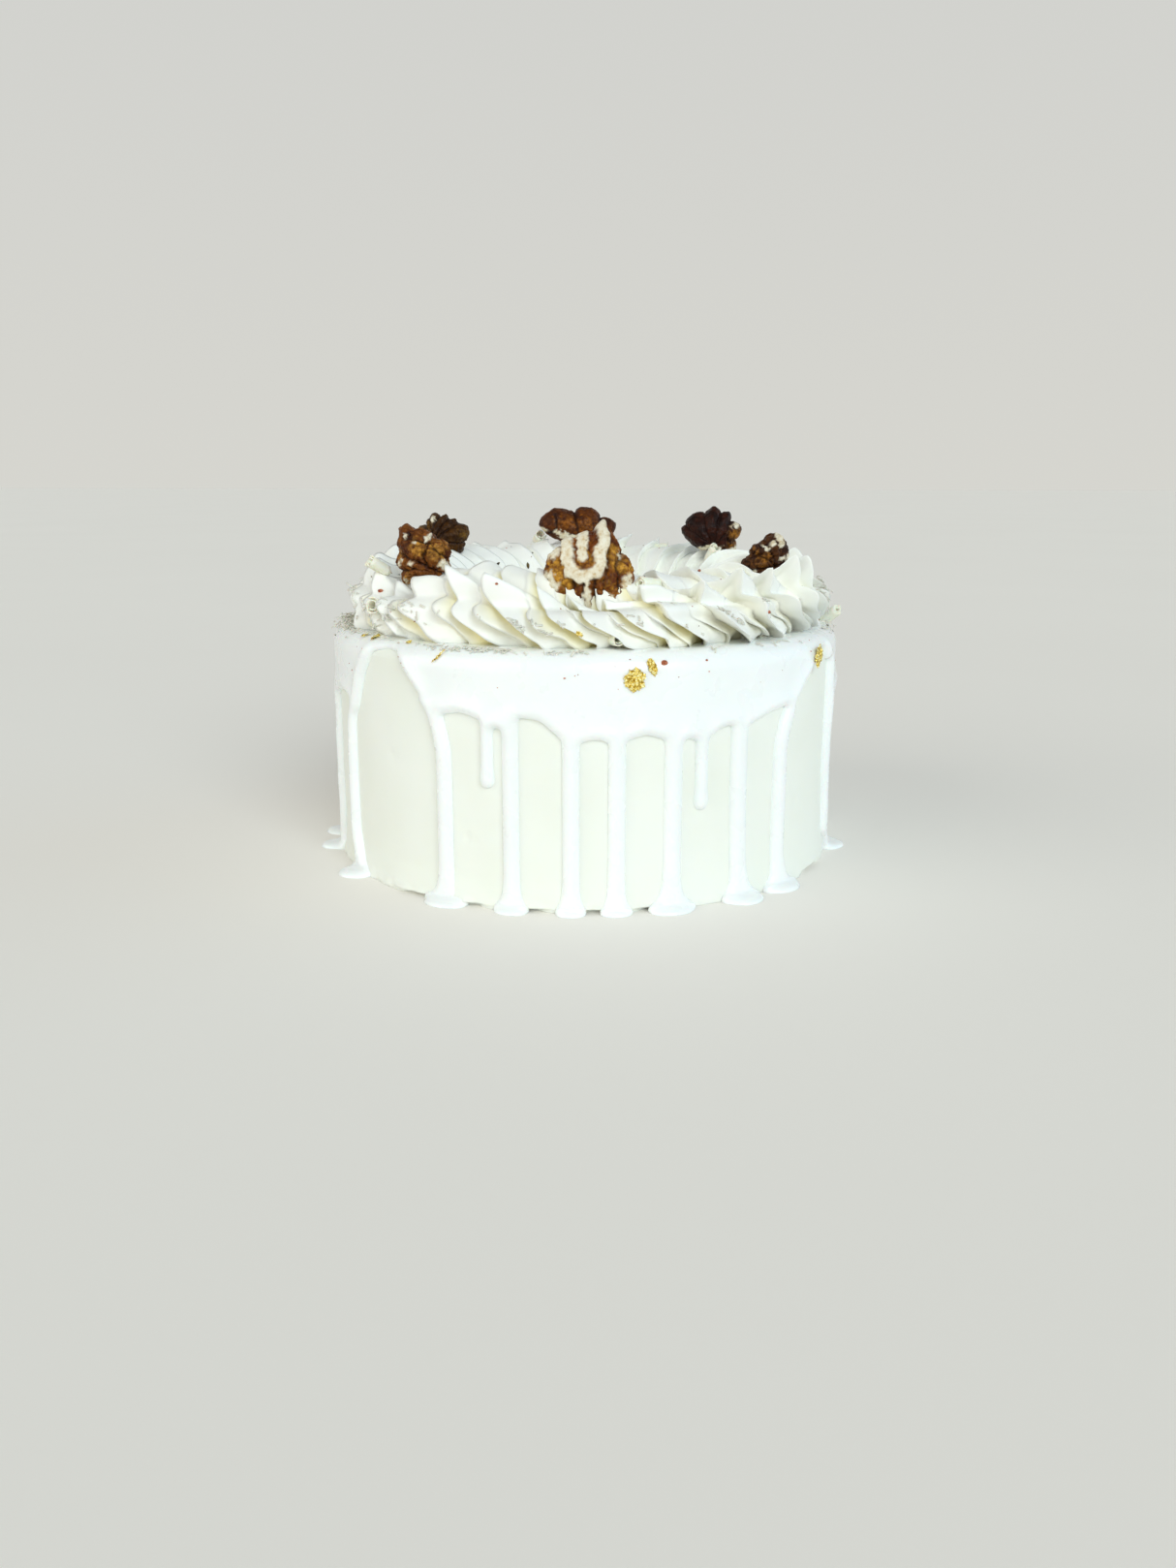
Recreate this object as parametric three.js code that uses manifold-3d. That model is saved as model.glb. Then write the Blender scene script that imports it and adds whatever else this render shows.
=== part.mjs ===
// A round carrot cake: a tall body coated in ivory buttercream, a white glaze that
// runs down its side in drips, a ring of looped buttercream piped on top, six walnut
// halves standing in the ring and a few small white chocolate curls.
// Millimetres, +Z up. The origin is the middle of the base, and the front is -Y.
// An azimuth is in degrees, 0 at the front and growing towards +X.
import * as THREE from "three";
import { mergeVertices } from "three/addons/utils/BufferGeometryUtils.js";
import Module from "manifold-3d";

// ---- Driving dimensions ----
const BODY_RADIUS = 103.2;
const BODY_HEIGHT = 93.2;
const BODY_EDGE_ROUND = 5;
const BODY_COLUMNS = 64;
const EDGE_TURNS = [0, 45, 90]; // the degrees at which the rounded top edges have a ring
const FOOT_FLARE = 3.2; // how far the ragged bottom edge spreads where it is widest
const FOOT_CHAMFER = 0.9;
// Heights in the flared foot, each with the share of the flare that it has.
const FOOT_LEVELS = [[1.6, 1], [4.5, 0.55], [11, 0]];
const SEAM = 0.3; // the gap left between two pieces that touch

const TOP_LEVEL = 95; // the top of the glaze
const GLAZE_DEPTH = 1.5; // on the side of the body
const GLAZE_EDGE_ROUND = 6;
const APRON_ROOT = 8; // how far the apron reaches into the body before it is cut to fit
const APRON_BEAD = 0.5; // how far its lower edge stands out of the rest of it
const DRIP_DEPTH = 2.7;
const DRIP_ROOT = 2.5; // how far a drip reaches into the body before it is cut to fit
const DRIP_FADE = 9; // the height over which a drip's top fades into the apron

const RING_RADIUS = 72; // of the middle line of the piping
const LOOPS = 21;
const LOOP_REACH = 12.5; // how far a loop swings in and out of the middle line
const LOOP_RISE = 6.2; // how far it swings up and down
const LOOP_LEAN_FRONT = 9; // how far a loop's top lags behind its foot
const LOOP_LEAN_BACK = 0.5;
const STRAND_HEIGHT = 8.6; // the strand's mean height above the top
const STRAND_RADIUS = 11.6; // to its ridges
const RING_FOOT_PHASE = 0.36; // where a loop meets the top, in turns from its crest
const RING_ROWS = 12;

const WALNUT_DETAIL = 3; // how often each edge of an icosahedron is divided
const SOCKET_GAP = 0.4; // between a walnut and the buttercream round it

const CURL_RADIUS = 2.3;
const CURL_WALL = 0.8;
const CURL_SIDES = 8;

// ---- Small helpers ----
const radians = THREE.MathUtils.degToRad;
const TAU = 2 * Math.PI;

function around(azimuth, radius, z) {
  const a = radians(azimuth);
  return new THREE.Vector3(radius * Math.sin(a), -radius * Math.cos(a), z);
}

// A repeatable random number from 0 to 1 for each whole number.
function draw(n) {
  const x = Math.sin(n * 127.1 + 311.7) * 43758.5453;
  return x - Math.floor(x);
}

function steps(count, from, to) {
  return Array.from({ length: count }, (_, i) => from + ((to - from) * i) / (count - 1));
}

// The height at x on a line through [x, height] points that are listed in order of x.
function alongLine(points, x) {
  const next = points.findIndex((point) => point[0] >= x);
  if (next <= 0) return points.at(next)[1];
  const [x0, y0] = points[next - 1];
  const [x1, y1] = points[next];
  return y0 + ((y1 - y0) * (x - x0)) / (x1 - x0);
}

// A closed surface through rings of points. Each ring has as many points as the next, and
// goes counterclockwise seen from the last ring's side. Both ends are closed with a fan.
function skin(rings) {
  const count = rings[0].length;
  const points = rings.flat();
  const middle = (ring) =>
    ring.reduce((sum, p) => sum.add(p), new THREE.Vector3()).divideScalar(ring.length);
  points.push(middle(rings[0]), middle(rings.at(-1)));
  const first = points.length - 2;
  const last = points.length - 1;
  const top = (rings.length - 1) * count;
  const faces = [];
  for (let j = 0; j < count; j++) {
    const k = (j + 1) % count;
    for (let i = 0; i + 1 < rings.length; i++) {
      const low = i * count;
      const high = low + count;
      faces.push(low + j, low + k, high + k, low + j, high + k, high + j);
    }
    faces.push(first, k, j, last, top + j, top + k);
  }
  return { points, faces };
}

// ---- Joins and cuts ----
const wasm = await Module();
wasm.setup();

function solid({ points, faces }) {
  return new wasm.Manifold(
    new wasm.Mesh({
      numProp: 3,
      vertProperties: new Float32Array(points.flatMap((p) => [p.x, p.y, p.z])),
      triVerts: new Uint32Array(faces),
    }),
  );
}

function joined(solids) {
  return solids.reduce((sum, next) => sum.add(next));
}

// A cut can leave crumbs and sealed bubbles: only the largest body is the piece.
function largest(made) {
  return made.decompose().reduce((a, b) => (a.volume() > b.volume() ? a : b));
}

// The same body with vertices closer than a micrometre merged.
function welded(made) {
  const loose = geometryOf(made);
  loose.deleteAttribute("normal");
  const geometry = mergeVertices(loose, 1e-3);
  return largest(
    new wasm.Manifold(
      new wasm.Mesh({
        numProp: 3,
        vertProperties: geometry.getAttribute("position").array,
        triVerts: new Uint32Array(geometry.getIndex().array),
      }),
    ),
  );
}

function geometryOf(made) {
  const { numProp, numVert, vertProperties, triVerts } = made.getMesh();
  const positions = new Float32Array(numVert * 3);
  for (let i = 0; i < numVert; i++) {
    positions.set(vertProperties.subarray(i * numProp, i * numProp + 3), i * 3);
  }
  const geometry = new THREE.BufferGeometry();
  geometry.setAttribute("position", new THREE.BufferAttribute(positions, 3));
  geometry.setIndex(new THREE.BufferAttribute(new Uint32Array(triVerts), 1));
  geometry.computeVertexNormals();
  return geometry;
}

function piece(name, made, material) {
  const mesh = new THREE.Mesh(geometryOf(welded(largest(made))), material);
  mesh.name = name;
  return mesh;
}

// ---- Materials ----
const buttercream = new THREE.MeshStandardMaterial({ color: 0xeeeede, roughness: 0.6 });
const glazeWhite = new THREE.MeshStandardMaterial({ color: 0xfafcfb, roughness: 0.25 });
const pipedWhite = new THREE.MeshStandardMaterial({ color: 0xfbfbf3, roughness: 0.45 });
const walnutBrown = new THREE.MeshStandardMaterial({ color: 0x7a4a1e, roughness: 0.55 });

// ---- The coated body ----
// The buttercream was smoothed by hand, so the side is not quite round.
function sideWobble(azimuth) {
  const a = radians(azimuth);
  return 0.35 * Math.sin(2 * a + 1) + 0.2 * Math.sin(5 * a + 2.1);
}

// The bottom edge spreads in ragged lumps, most at the front left.
function footFlare(azimuth) {
  const a = radians(azimuth);
  const lumps = 0.45 + 0.3 * Math.sin(9 * a + 0.6) + 0.25 * Math.sin(23 * a);
  const frontLeft = Math.exp(-(((azimuth + 34) / 26) ** 2));
  return FOOT_FLARE * Math.max(0, 0.3 * lumps + frontLeft * (0.55 + 0.3 * lumps));
}

function coatedBody(grow) {
  const azimuths = steps(BODY_COLUMNS + 1, -180, 180).slice(0, -1);
  const ring = (radius, z) => azimuths.map((a) => around(a, radius(a) + grow, z));
  const side = (a) => BODY_RADIUS + sideWobble(a);
  const levels = [[(a) => side(a) + footFlare(a) - FOOT_CHAMFER, -grow]];
  for (const [z, share] of FOOT_LEVELS) {
    levels.push([(a) => side(a) + share * footFlare(a), z]);
  }
  for (const turn of EDGE_TURNS) {
    const inset = BODY_EDGE_ROUND * (1 - Math.cos(radians(turn)));
    const drop = BODY_EDGE_ROUND * (1 - Math.sin(radians(turn)));
    levels.push([(a) => side(a) - inset, BODY_HEIGHT + grow - drop]);
  }
  return solid(skin(levels.map(([radius, z]) => ring(radius, z))));
}

// ---- The glaze ----
// One row for each drip, in order of azimuth. `arch` holds the heights of the bare arch
// to its right, at the left end, in the middle and at the right end. A drip with a `tip`
// ends there in a bead. The others reach the base, where they spread to a foot as wide as
// `foot` that reaches `puddle` out from the body. `lean` is a drip's route where it isn't
// straight, as [azimuth, height] points.
const FRONT_DRIPS = [
  { at: -93, width: 6.5, foot: 15, puddle: 12, arch: [66, 69, 67] },
  {
    at: -77, width: 6, foot: 14, puddle: 11,
    lean: [[-81, 0], [-77, 16], [-77, 68]],
    arch: [68, 72, 70],
  },
  {
    at: -61, width: 6, foot: 16, puddle: 11,
    lean: [[-58.5, 0], [-61.5, 16], [-62, 40], [-61.5, 62], [-56.5, 79], [-51, 90]],
    window: [
      [-58, 66], [-54.5, 80], [-50.5, 90], [-46, 92], [-42.2, 91.4], [-38.8, 83.6], [-35, 76],
    ],
  },
  {
    at: -29.7, width: 6.6, foot: 20, puddle: 8,
    lean: [[-29.7, 0], [-29.7, 58], [-31.5, 70], [-36.5, 81], [-41.5, 91]],
    arch: [70.5, 72, 70],
  },
  { at: -19.8, width: 5, tip: 45.5, arch: [67, 67.6, 67] },
  { at: -14.9, width: 6.2, foot: 14, puddle: 6, arch: [71.5, 70.7, 64] },
  { at: -2.9, width: 6.2, foot: 12, puddle: 5, arch: [63, 64.2, 63.4] },
  { at: 6.1, width: 6.3, foot: 12, puddle: 5, arch: [63.6, 65.6, 63.6] },
  { at: 17.5, width: 6.9, foot: 19, puddle: 7, arch: [62.6, 63.4, 62.8] },
  { at: 23.6, width: 5.3, tip: 37, arch: [62.8, 66, 67] },
  {
    at: 32.7, width: 7.4, foot: 18, puddle: 9,
    lean: [[34, 0], [33, 14], [32.5, 40], [32.5, 64]],
    arch: [65.8, 69.2, 71],
  },
  {
    at: 44.7, width: 7.2, foot: 19, puddle: 8,
    lean: [[45.8, 0], [44.5, 16], [44.5, 56], [46.5, 68], [50, 76], [54, 84]],
    window: [[48.5, 71], [52, 77.5], [55.7, 83], [58.8, 89.6], [63.5, 90], [65, 84]],
  },
  {
    at: 69, width: 7, foot: 16, puddle: 9.5,
    lean: [[82, 0], [71, 12], [68.5, 40], [69, 88]],
    arch: [69, 73, 70],
  },
];
const FRONT_END = 92; // where the drips that are listed end on the right
const BACK_DRIPS = 13;

// The drips round the back are as uneven as the listed ones.
function backDrip(n) {
  const pitch = (FRONT_DRIPS[0].at + 360 - FRONT_END) / (BACK_DRIPS + 1);
  const crown = 62 + 9 * draw(n + 0.2);
  const row = {
    at: FRONT_END + (n + 0.6 + 0.3 * draw(n)) * pitch,
    width: 5.4 + 1.8 * draw(n + 0.4),
    arch: [crown - 1.5, crown, crown - 2.5 + 2 * draw(n + 0.6)],
  };
  if (n % 4 === 2) return { ...row, tip: 34 + 16 * draw(n + 0.8) };
  return { ...row, foot: 11 + 5 * draw(n + 0.1), puddle: 5 + 6 * draw(n + 0.3) };
}

const DRIPS = [...FRONT_DRIPS, ...Array.from({ length: BACK_DRIPS }, (_, n) => backDrip(n))];

// The lower edge of the glaze between the drips, as [azimuth, height] points.
function apronEdge() {
  const edge = [];
  DRIPS.forEach((drip, i) => {
    const next = DRIPS[i + 1] ?? { ...DRIPS[0], at: DRIPS[0].at + 360 };
    const half = (0.5 * drip.width * 360) / (TAU * BODY_RADIUS);
    const nextHalf = (0.5 * next.width * 360) / (TAU * BODY_RADIUS);
    if (drip.window) {
      edge.push([drip.at - half, 66], ...drip.window);
      return;
    }
    const [left, crown, right] = drip.arch;
    const from = drip.at + half + 0.5;
    const to = next.at - nextHalf - 0.5;
    edge.push([drip.at, left - 4], [from, left], [(from + to) / 2, crown], [to, right]);
  });
  return edge;
}

// The apron fills the body too, so that the cut that follows fits it to the body.
function apron() {
  const edge = apronEdge();
  const brow = BODY_HEIGHT - 0.6; // the highest that the edge of a window reaches
  const ring = (out, lift) =>
    edge.map(([a, z]) => {
      const radius = BODY_RADIUS + sideWobble(a) + out;
      return around(a, radius, Math.min(z + lift, brow + 0.15 * lift));
    });
  const rings = [
    ring(-APRON_ROOT, 0.4),
    ring(SEAM, 0),
    ring(GLAZE_DEPTH + APRON_BEAD, 0.9),
    ring(GLAZE_DEPTH, 5),
  ];
  for (const turn of EDGE_TURNS) {
    const inset = GLAZE_EDGE_ROUND * (1 - Math.cos(radians(turn)));
    const drop = GLAZE_EDGE_ROUND * (1 - Math.sin(radians(turn)));
    rings.push(
      edge.map(([a, z]) => {
        const radius = BODY_RADIUS + sideWobble(a) + GLAZE_DEPTH - inset;
        return around(a, radius, Math.max(TOP_LEVEL - drop, Math.min(z + 1.5, TOP_LEVEL - 0.9)));
      }),
    );
  }
  return solid(skin(rings));
}

// Half an oval that stands `depth` out from the body, with its back inside the body.
function dripSection(azimuth, z, width, depth) {
  const perMillimetre = 360 / (TAU * BODY_RADIUS);
  const at = (across, out) =>
    around(azimuth + across * perMillimetre, BODY_RADIUS + sideWobble(azimuth) + out, z);
  const arc = [180, 125, 55, 0].map((turn) => {
    const a = radians(turn);
    return at(0.5 * width * Math.cos(a), 0.1 + depth * Math.sin(a));
  });
  return [...arc, at(0.42 * width, -DRIP_ROOT), at(-0.42 * width, -DRIP_ROOT)];
}

// Where a drip runs, at a height.
function dripRoute(drip, z) {
  if (!drip.lean) return drip.at;
  return alongLine(drip.lean.map(([azimuth, height]) => [height, azimuth]), z);
}

// The sections of a drip's lower end, each as [height, width, depth].
const FOOT_TOP = 14;

function pooledFoot({ width, foot, puddle }) {
  return [
    [0, 0.94 * foot, puddle - 0.6],
    [1.4, foot, puddle],
    [2.9, 0.78 * foot, 0.62 * puddle],
    [5.5, 1.35 * width, DRIP_DEPTH + 0.14 * puddle],
    [11, width, DRIP_DEPTH],
  ];
}

function beadedEnd({ width, tip }) {
  return [
    [tip, 0.4 * width, 0.45 * DRIP_DEPTH],
    [tip + 1, 0.85 * width, DRIP_DEPTH],
    [tip + 3, 1.12 * width, 1.15 * DRIP_DEPTH],
    [tip + 8, width, DRIP_DEPTH],
  ];
}

function drip(row) {
  const { width, lean, arch } = row;
  const rows = row.foot === undefined ? beadedEnd(row) : pooledFoot(row);
  const bends = lean ? lean.map((point) => point[1]).filter((z) => z > FOOT_TOP) : [arch[0]];
  bends.forEach((z) => rows.push([z, width, z > 80 ? 0.7 * DRIP_DEPTH : DRIP_DEPTH]));
  const faded = Math.min(bends.at(-1) + DRIP_FADE, BODY_HEIGHT - 1);
  rows.push([faded, width, 0.6 * GLAZE_DEPTH]);
  return solid(skin(rows.map(([z, w, d]) => dripSection(dripRoute(row, z), z, w, d))));
}

// ---- The piped ring ----
// The strand is piped in loops that lean along the ring. `turn` counts loops from the
// front, and `phase` goes round a loop in turns: 0 is its top and a quarter its outer side.
// All the swings repeat after a whole ring.
function loopSwing(turn) {
  const u = (TAU * turn) / LOOPS;
  const leanRange = LOOP_LEAN_FRONT - LOOP_LEAN_BACK;
  return {
    lean: LOOP_LEAN_BACK + (leanRange / 2) * (1 + Math.cos(u - radians(20))),
    reach: LOOP_REACH + 0.9 * Math.sin(5 * u + 1) + 0.6 * Math.sin(13 * u),
    rise: LOOP_RISE + 0.8 * Math.sin(4 * u + 2) + 0.5 * Math.sin(11 * u + 1) + crestRise(turn),
    drift: 0.9 * Math.sin(7 * u + 0.5),
  };
}

// How far the strand stands out of its middle line, at a place across the loop. Two ridges
// with a hollow face beside each show on every loop, and a deep crease parts the loops.
const PETALS = [[0, -7], [0.1, -1.2], [0.3, -3.4], [0.5, 0], [0.72, -3], [0.9, -5.2]];

// The same azimuth between -180 and 180.
function wrapped(azimuth) {
  return ((((azimuth + 180) % 360) + 360) % 360) - 180;
}

function bell(x, width) {
  return Math.exp(-((x / width) ** 2));
}

// The crest is a little higher at the back and beside the front left walnut, and lower
// under that walnut.
function crestRise(turn) {
  const azimuth = wrapped((360 * turn) / LOOPS);
  const back = 1.9 * (1 - Math.cos(radians(azimuth)));
  return back + 2 * bell(azimuth + 36, 9) - 2.5 * bell(azimuth + 66, 18);
}

// The outer side is pressed in below the front walnut. The azimuth, the turn round the loop
// and their spreads are in degrees.
const DENT = { depth: 12, azimuth: 1, width: 11, turn: 42, height: 30 };

function frontDent(azimuth, phase) {
  const across = bell(wrapped(azimuth - DENT.azimuth), DENT.width);
  return DENT.depth * across * bell(360 * phase - DENT.turn, DENT.height);
}

function ringPoint(n, [across, relief], phase) {
  const turn = n + across + phase;
  const { lean, reach, rise, drift } = loopSwing(turn);
  const t = TAU * phase;
  const along = drift - lean * Math.cos(t);
  const azimuth = (360 * turn) / LOOPS + (along * 360) / (TAU * RING_RADIUS);
  const dent = frontDent(azimuth, phase);
  const out = reach + STRAND_RADIUS + relief - dent;
  const up = rise + STRAND_RADIUS + relief - dent;
  const shift = 1.5 * Math.cos(radians(azimuth - 45)); // the ring sits a little off centre
  const radius = RING_RADIUS + shift + out * Math.sin(t);
  const z = TOP_LEVEL + STRAND_HEIGHT + up * Math.cos(t);
  return around(azimuth, radius, Math.max(z, TOP_LEVEL + SEAM));
}

// A closed tube through columns of points that come back to the first column.
function closedTube(columns) {
  const rows = columns[0].length;
  const faces = [];
  columns.forEach((_, i) => {
    const here = i * rows;
    const next = ((i + 1) % columns.length) * rows;
    for (let j = 0; j < rows; j++) {
      const k = (j + 1) % rows;
      faces.push(here + j, here + k, next + k, here + j, next + k, next + j);
    }
  });
  return { points: columns.flat(), faces };
}

function pipedLoops() {
  const phases = steps(RING_ROWS, -RING_FOOT_PHASE, RING_FOOT_PHASE);
  const columns = [];
  for (let n = 0; n < LOOPS; n++) {
    PETALS.forEach((petal) => {
      const column = phases.map((phase) => ringPoint(n, petal, phase));
      column[0].z = TOP_LEVEL + SEAM;
      column.at(-1).z = TOP_LEVEL + SEAM;
      columns.push(column);
    });
  }
  return solid(closedTube(columns));
}

function slabBelow(level) {
  const width = 2.5 * BODY_RADIUS;
  const depth = 40;
  const box = new THREE.BoxGeometry(width, width, depth).toNonIndexed();
  box.translate(0, 0, level - depth / 2);
  const corners = box.getAttribute("position");
  const seen = new Map();
  const points = [];
  const faces = [];
  for (let i = 0; i < corners.count; i++) {
    const point = new THREE.Vector3().fromBufferAttribute(corners, i);
    const key = point.toArray().join();
    if (!seen.has(key)) {
      seen.set(key, points.length);
      points.push(point);
    }
    faces.push(seen.get(key));
  }
  return solid({ points, faces });
}

// ---- Walnut halves ----
// `size` is width, thickness and length. `turn` is a rotation in degrees about x, then y,
// then z, that takes a half lying with its length along z to where it stands. `domed` is 1
// where its rounded side is towards +y and -1 where that is towards -y. `outline` goes round
// the half seen from -y, as [degrees, share of the half size].
const WALNUTS = [
  {
    name: "walnut_front", azimuth: 1, radius: 71, z: 121.5,
    size: [33, 16, 34], turn: [-8, 0, 0], domed: 1,
    outline: [
      [9, 0.92], [28, 0.84], [57, 0.88], [73, 1.02], [84, 0.74], [113, 0.68], [141, 0.8],
      [163, 0.92], [190, 1], [211, 1.02], [232, 0.88], [270, 0.92], [318, 1.12], [340, 1.04],
    ],
  },
  {
    name: "walnut_front_right", azimuth: 66.5, radius: 77, z: 122,
    size: [21, 14, 20], turn: [-4, 0, 22], domed: -1,
    outline: [
      [11, 0.95], [39, 1.05], [57, 1.12], [70, 1.06], [90, 0.84], [120, 0.71], [160, 0.72],
      [204, 1.09], [226, 0.97], [261, 1.01], [288, 0.8], [313, 0.96], [350, 1],
    ],
  },
  {
    name: "walnut_back_right", azimuth: 122, radius: 66, z: 130,
    size: [27, 15, 23], turn: [10, 0, -8], domed: -1,
    outline: [
      [12, 1], [34, 0.86], [52, 0.98], [67, 0.9], [82, 1], [100, 0.87], [136, 0.9],
      [172, 1], [207, 0.8], [232, 0.76], [264, 0.72], [300, 0.86], [316, 1.12], [337, 0.94],
    ],
  },
  {
    name: "walnut_back", azimuth: 182.5, radius: 66, z: 130,
    size: [38, 16, 23], turn: [12, 0, 3], domed: -1,
    outline: [
      [14, 0.94], [31, 0.87], [42, 0.76], [68, 0.9], [89, 0.9], [99, 0.76], [113, 0.86],
      [125, 1.06], [150, 1.03], [169, 1], [190, 0.86], [220, 0.66], [270, 0.62], [330, 0.8],
    ],
  },
  {
    name: "walnut_back_left", azimuth: 246.5, radius: 68, z: 129,
    size: [24, 14, 24], turn: [8, 0, -14], domed: -1,
    outline: [
      [3, 1], [18, 1], [30, 0.82], [48, 0.76], [60, 0.7], [78, 0.76], [94, 0.71], [110, 0.85],
      [124, 0.84], [150, 0.72], [160, 0.92], [176, 1], [225, 0.85], [270, 0.9], [335, 0.95],
    ],
  },
  {
    name: "walnut_front_left", azimuth: 301.9, radius: 72.8, z: 123.8,
    size: [23, 15, 25], turn: [-6, 0, -14], domed: -1,
    outline: [
      [7, 0.92], [33, 0.78], [58, 0.66], [74, 0.7], [100, 0.8], [116, 0.9], [126, 1.2],
      [140, 1.24], [170, 1.02], [205, 1.12], [230, 1.16], [252, 0.8], [292, 0.78], [318, 0.94],
    ],
  },
];
const DOMED_SIDE = 0.6; // shares of a half's thickness
const FLAT_SIDE = 0.4;
const DOME_FALL = 0.15; // how much the dome falls off towards the outline

// The outline's share at an angle in degrees. It comes round to its start.
function outlineShare(outline, angle) {
  const [lastAngle, lastShare] = outline.at(-1);
  const [firstAngle, firstShare] = outline[0];
  const whole = [[lastAngle - 360, lastShare], ...outline, [firstAngle + 360, firstShare]];
  return alongLine(whole, angle);
}

// A point of the kernel's surface, in a direction from its middle.
function kernelPoint(direction, { size, outline, domed }, grow) {
  const [width, thickness, length] = size;
  const { x, y, z } = direction;
  const angle = (THREE.MathUtils.radToDeg(Math.atan2(z, x)) + 360) % 360;
  const share = outlineShare(outline, angle);
  const rounded = DOMED_SIDE * Math.sqrt(1 - DOME_FALL * (x * x + z * z));
  const depth = y * domed > 0 ? rounded : FLAT_SIDE;
  return new THREE.Vector3(
    x * (0.5 * width * share + grow),
    y * (thickness * depth + grow),
    z * (0.5 * length * share + grow),
  );
}

function walnut(row, grow) {
  const sphere = new THREE.IcosahedronGeometry(1, WALNUT_DETAIL);
  const corners = sphere.getAttribute("position");
  const place = new THREE.Matrix4().compose(
    around(row.azimuth, row.radius, row.z),
    new THREE.Quaternion().setFromEuler(new THREE.Euler(...row.turn.map(radians), "ZYX")),
    new THREE.Vector3(1, 1, 1),
  );
  const seen = new Map();
  const points = [];
  const faces = [];
  for (let i = 0; i < corners.count; i++) {
    const direction = new THREE.Vector3().fromBufferAttribute(corners, i).normalize();
    const key = direction.toArray().map((v) => v.toFixed(4)).join();
    if (!seen.has(key)) {
      seen.set(key, points.length);
      points.push(kernelPoint(direction, row, grow).applyMatrix4(place));
    }
    faces.push(seen.get(key));
  }
  return solid({ points, faces });
}

// ---- White chocolate curls ----
// Each is a short scroll, listed where its middle lies and which way its bore points.
const RING_CURLS = [
  { azimuth: -56, radius: 95.5, z: 104.5, length: 9, bore: [-0.3, -0.95, 0.25] },
  { azimuth: 197, radius: 75, z: 124.5, length: 9, bore: [0.25, -1, 0.3] },
  { azimuth: 18, radius: 75, z: 118, length: 9, bore: [-0.8, -0.6, 0.1] },
  { azimuth: 6, radius: 94.5, z: 98, length: 9, bore: [0.3, -0.95, 0.1] },
  { azimuth: 153, radius: 76, z: 119.5, length: 9, bore: [0.95, 0.1, 0.1] },
  { azimuth: 118, radius: 64, z: 119.4, length: 8, bore: [0.3, -0.6, 0.7] },
  { azimuth: -64.5, radius: 89, z: 117, length: 9, bore: [-0.7, -0.6, 0.5] },
];
const EDGE_CURL = { azimuth: 90, radius: 103.8, z: 96.8, length: 10, bore: [0.5, -0.6, 0.6] };

function curl({ azimuth, radius, z, length, bore }) {
  const middle = around(azimuth, radius, z);
  const run = new THREE.Vector3(...bore).normalize();
  const place = new THREE.Quaternion().setFromUnitVectors(new THREE.Vector3(0, 0, 1), run);
  const turns = steps(CURL_SIDES + 1, 0, TAU).slice(0, -1);
  const circle = (r, end) =>
    turns.map((a) => {
      const point = new THREE.Vector3(r * Math.cos(a), r * Math.sin(a), end);
      return point.applyQuaternion(place).add(middle);
    });
  const tube = (r, half) => solid(skin([circle(r, -half), circle(r, half)]));
  return tube(CURL_RADIUS, length / 2).subtract(tube(CURL_RADIUS - CURL_WALL, length));
}

// ---- The cake ----
const body = coatedBody(0);
const glaze = joined([apron(), ...DRIPS.map(drip), curl(EDGE_CURL)])
  .subtract(coatedBody(SEAM))
  .subtract(slabBelow(0));
const walnuts = WALNUTS.map((row) => [row.name, walnut(row, 0)]);
const sockets = joined(WALNUTS.map((row) => walnut(row, SOCKET_GAP)));
const ring = joined([pipedLoops(), ...RING_CURLS.map(curl)])
  .subtract(sockets)
  .subtract(slabBelow(TOP_LEVEL + SEAM));

const cake = new THREE.Group();
cake.name = "carrot_cake";
cake.add(piece("frosted_body", body, buttercream));
cake.add(piece("drip_glaze", glaze, glazeWhite));
cake.add(piece("piped_ring", ring, pipedWhite));
walnuts.forEach(([name, made]) => cake.add(piece(name, made, walnutBrown)));

export default cake;
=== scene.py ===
import math

import bmesh
import bpy
import numpy as np
from mathutils import Euler, Matrix, Vector
from mathutils.bvhtree import BVHTree
from mathutils.geometry import delaunay_2d_cdt
from mathutils.kdtree import KDTree


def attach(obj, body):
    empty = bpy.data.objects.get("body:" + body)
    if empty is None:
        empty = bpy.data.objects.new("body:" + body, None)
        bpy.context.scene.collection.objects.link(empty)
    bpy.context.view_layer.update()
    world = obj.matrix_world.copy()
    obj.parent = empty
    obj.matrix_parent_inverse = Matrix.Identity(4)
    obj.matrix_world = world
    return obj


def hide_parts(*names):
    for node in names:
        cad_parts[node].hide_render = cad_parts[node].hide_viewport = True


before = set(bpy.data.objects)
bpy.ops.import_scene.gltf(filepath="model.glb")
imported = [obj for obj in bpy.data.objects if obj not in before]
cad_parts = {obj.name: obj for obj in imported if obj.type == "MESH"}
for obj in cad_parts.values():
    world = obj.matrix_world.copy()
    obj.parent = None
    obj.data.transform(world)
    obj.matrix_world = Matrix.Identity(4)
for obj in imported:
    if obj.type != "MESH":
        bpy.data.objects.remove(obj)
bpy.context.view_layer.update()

# Lengths are in millimetres until a mesh is made. An azimuth is in degrees, 0 at the front
# (-Y) and growing towards +X.
MM = 0.001
TAU = 2 * math.pi

BODY_RADIUS = 103.2
BODY_HEIGHT = 93.2
BODY_EDGE_ROUND = 5.0
EDGE_START = BODY_HEIGHT - BODY_EDGE_ROUND  # the height at which the rounded edge begins
FOOT_FLARE = 3.2
TOP_LEVEL = 95.0
GLAZE_SIDE = 1.5
GLAZE_TOP = TOP_LEVEL - BODY_HEIGHT
DRIP_DEPTH = 2.7

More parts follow.
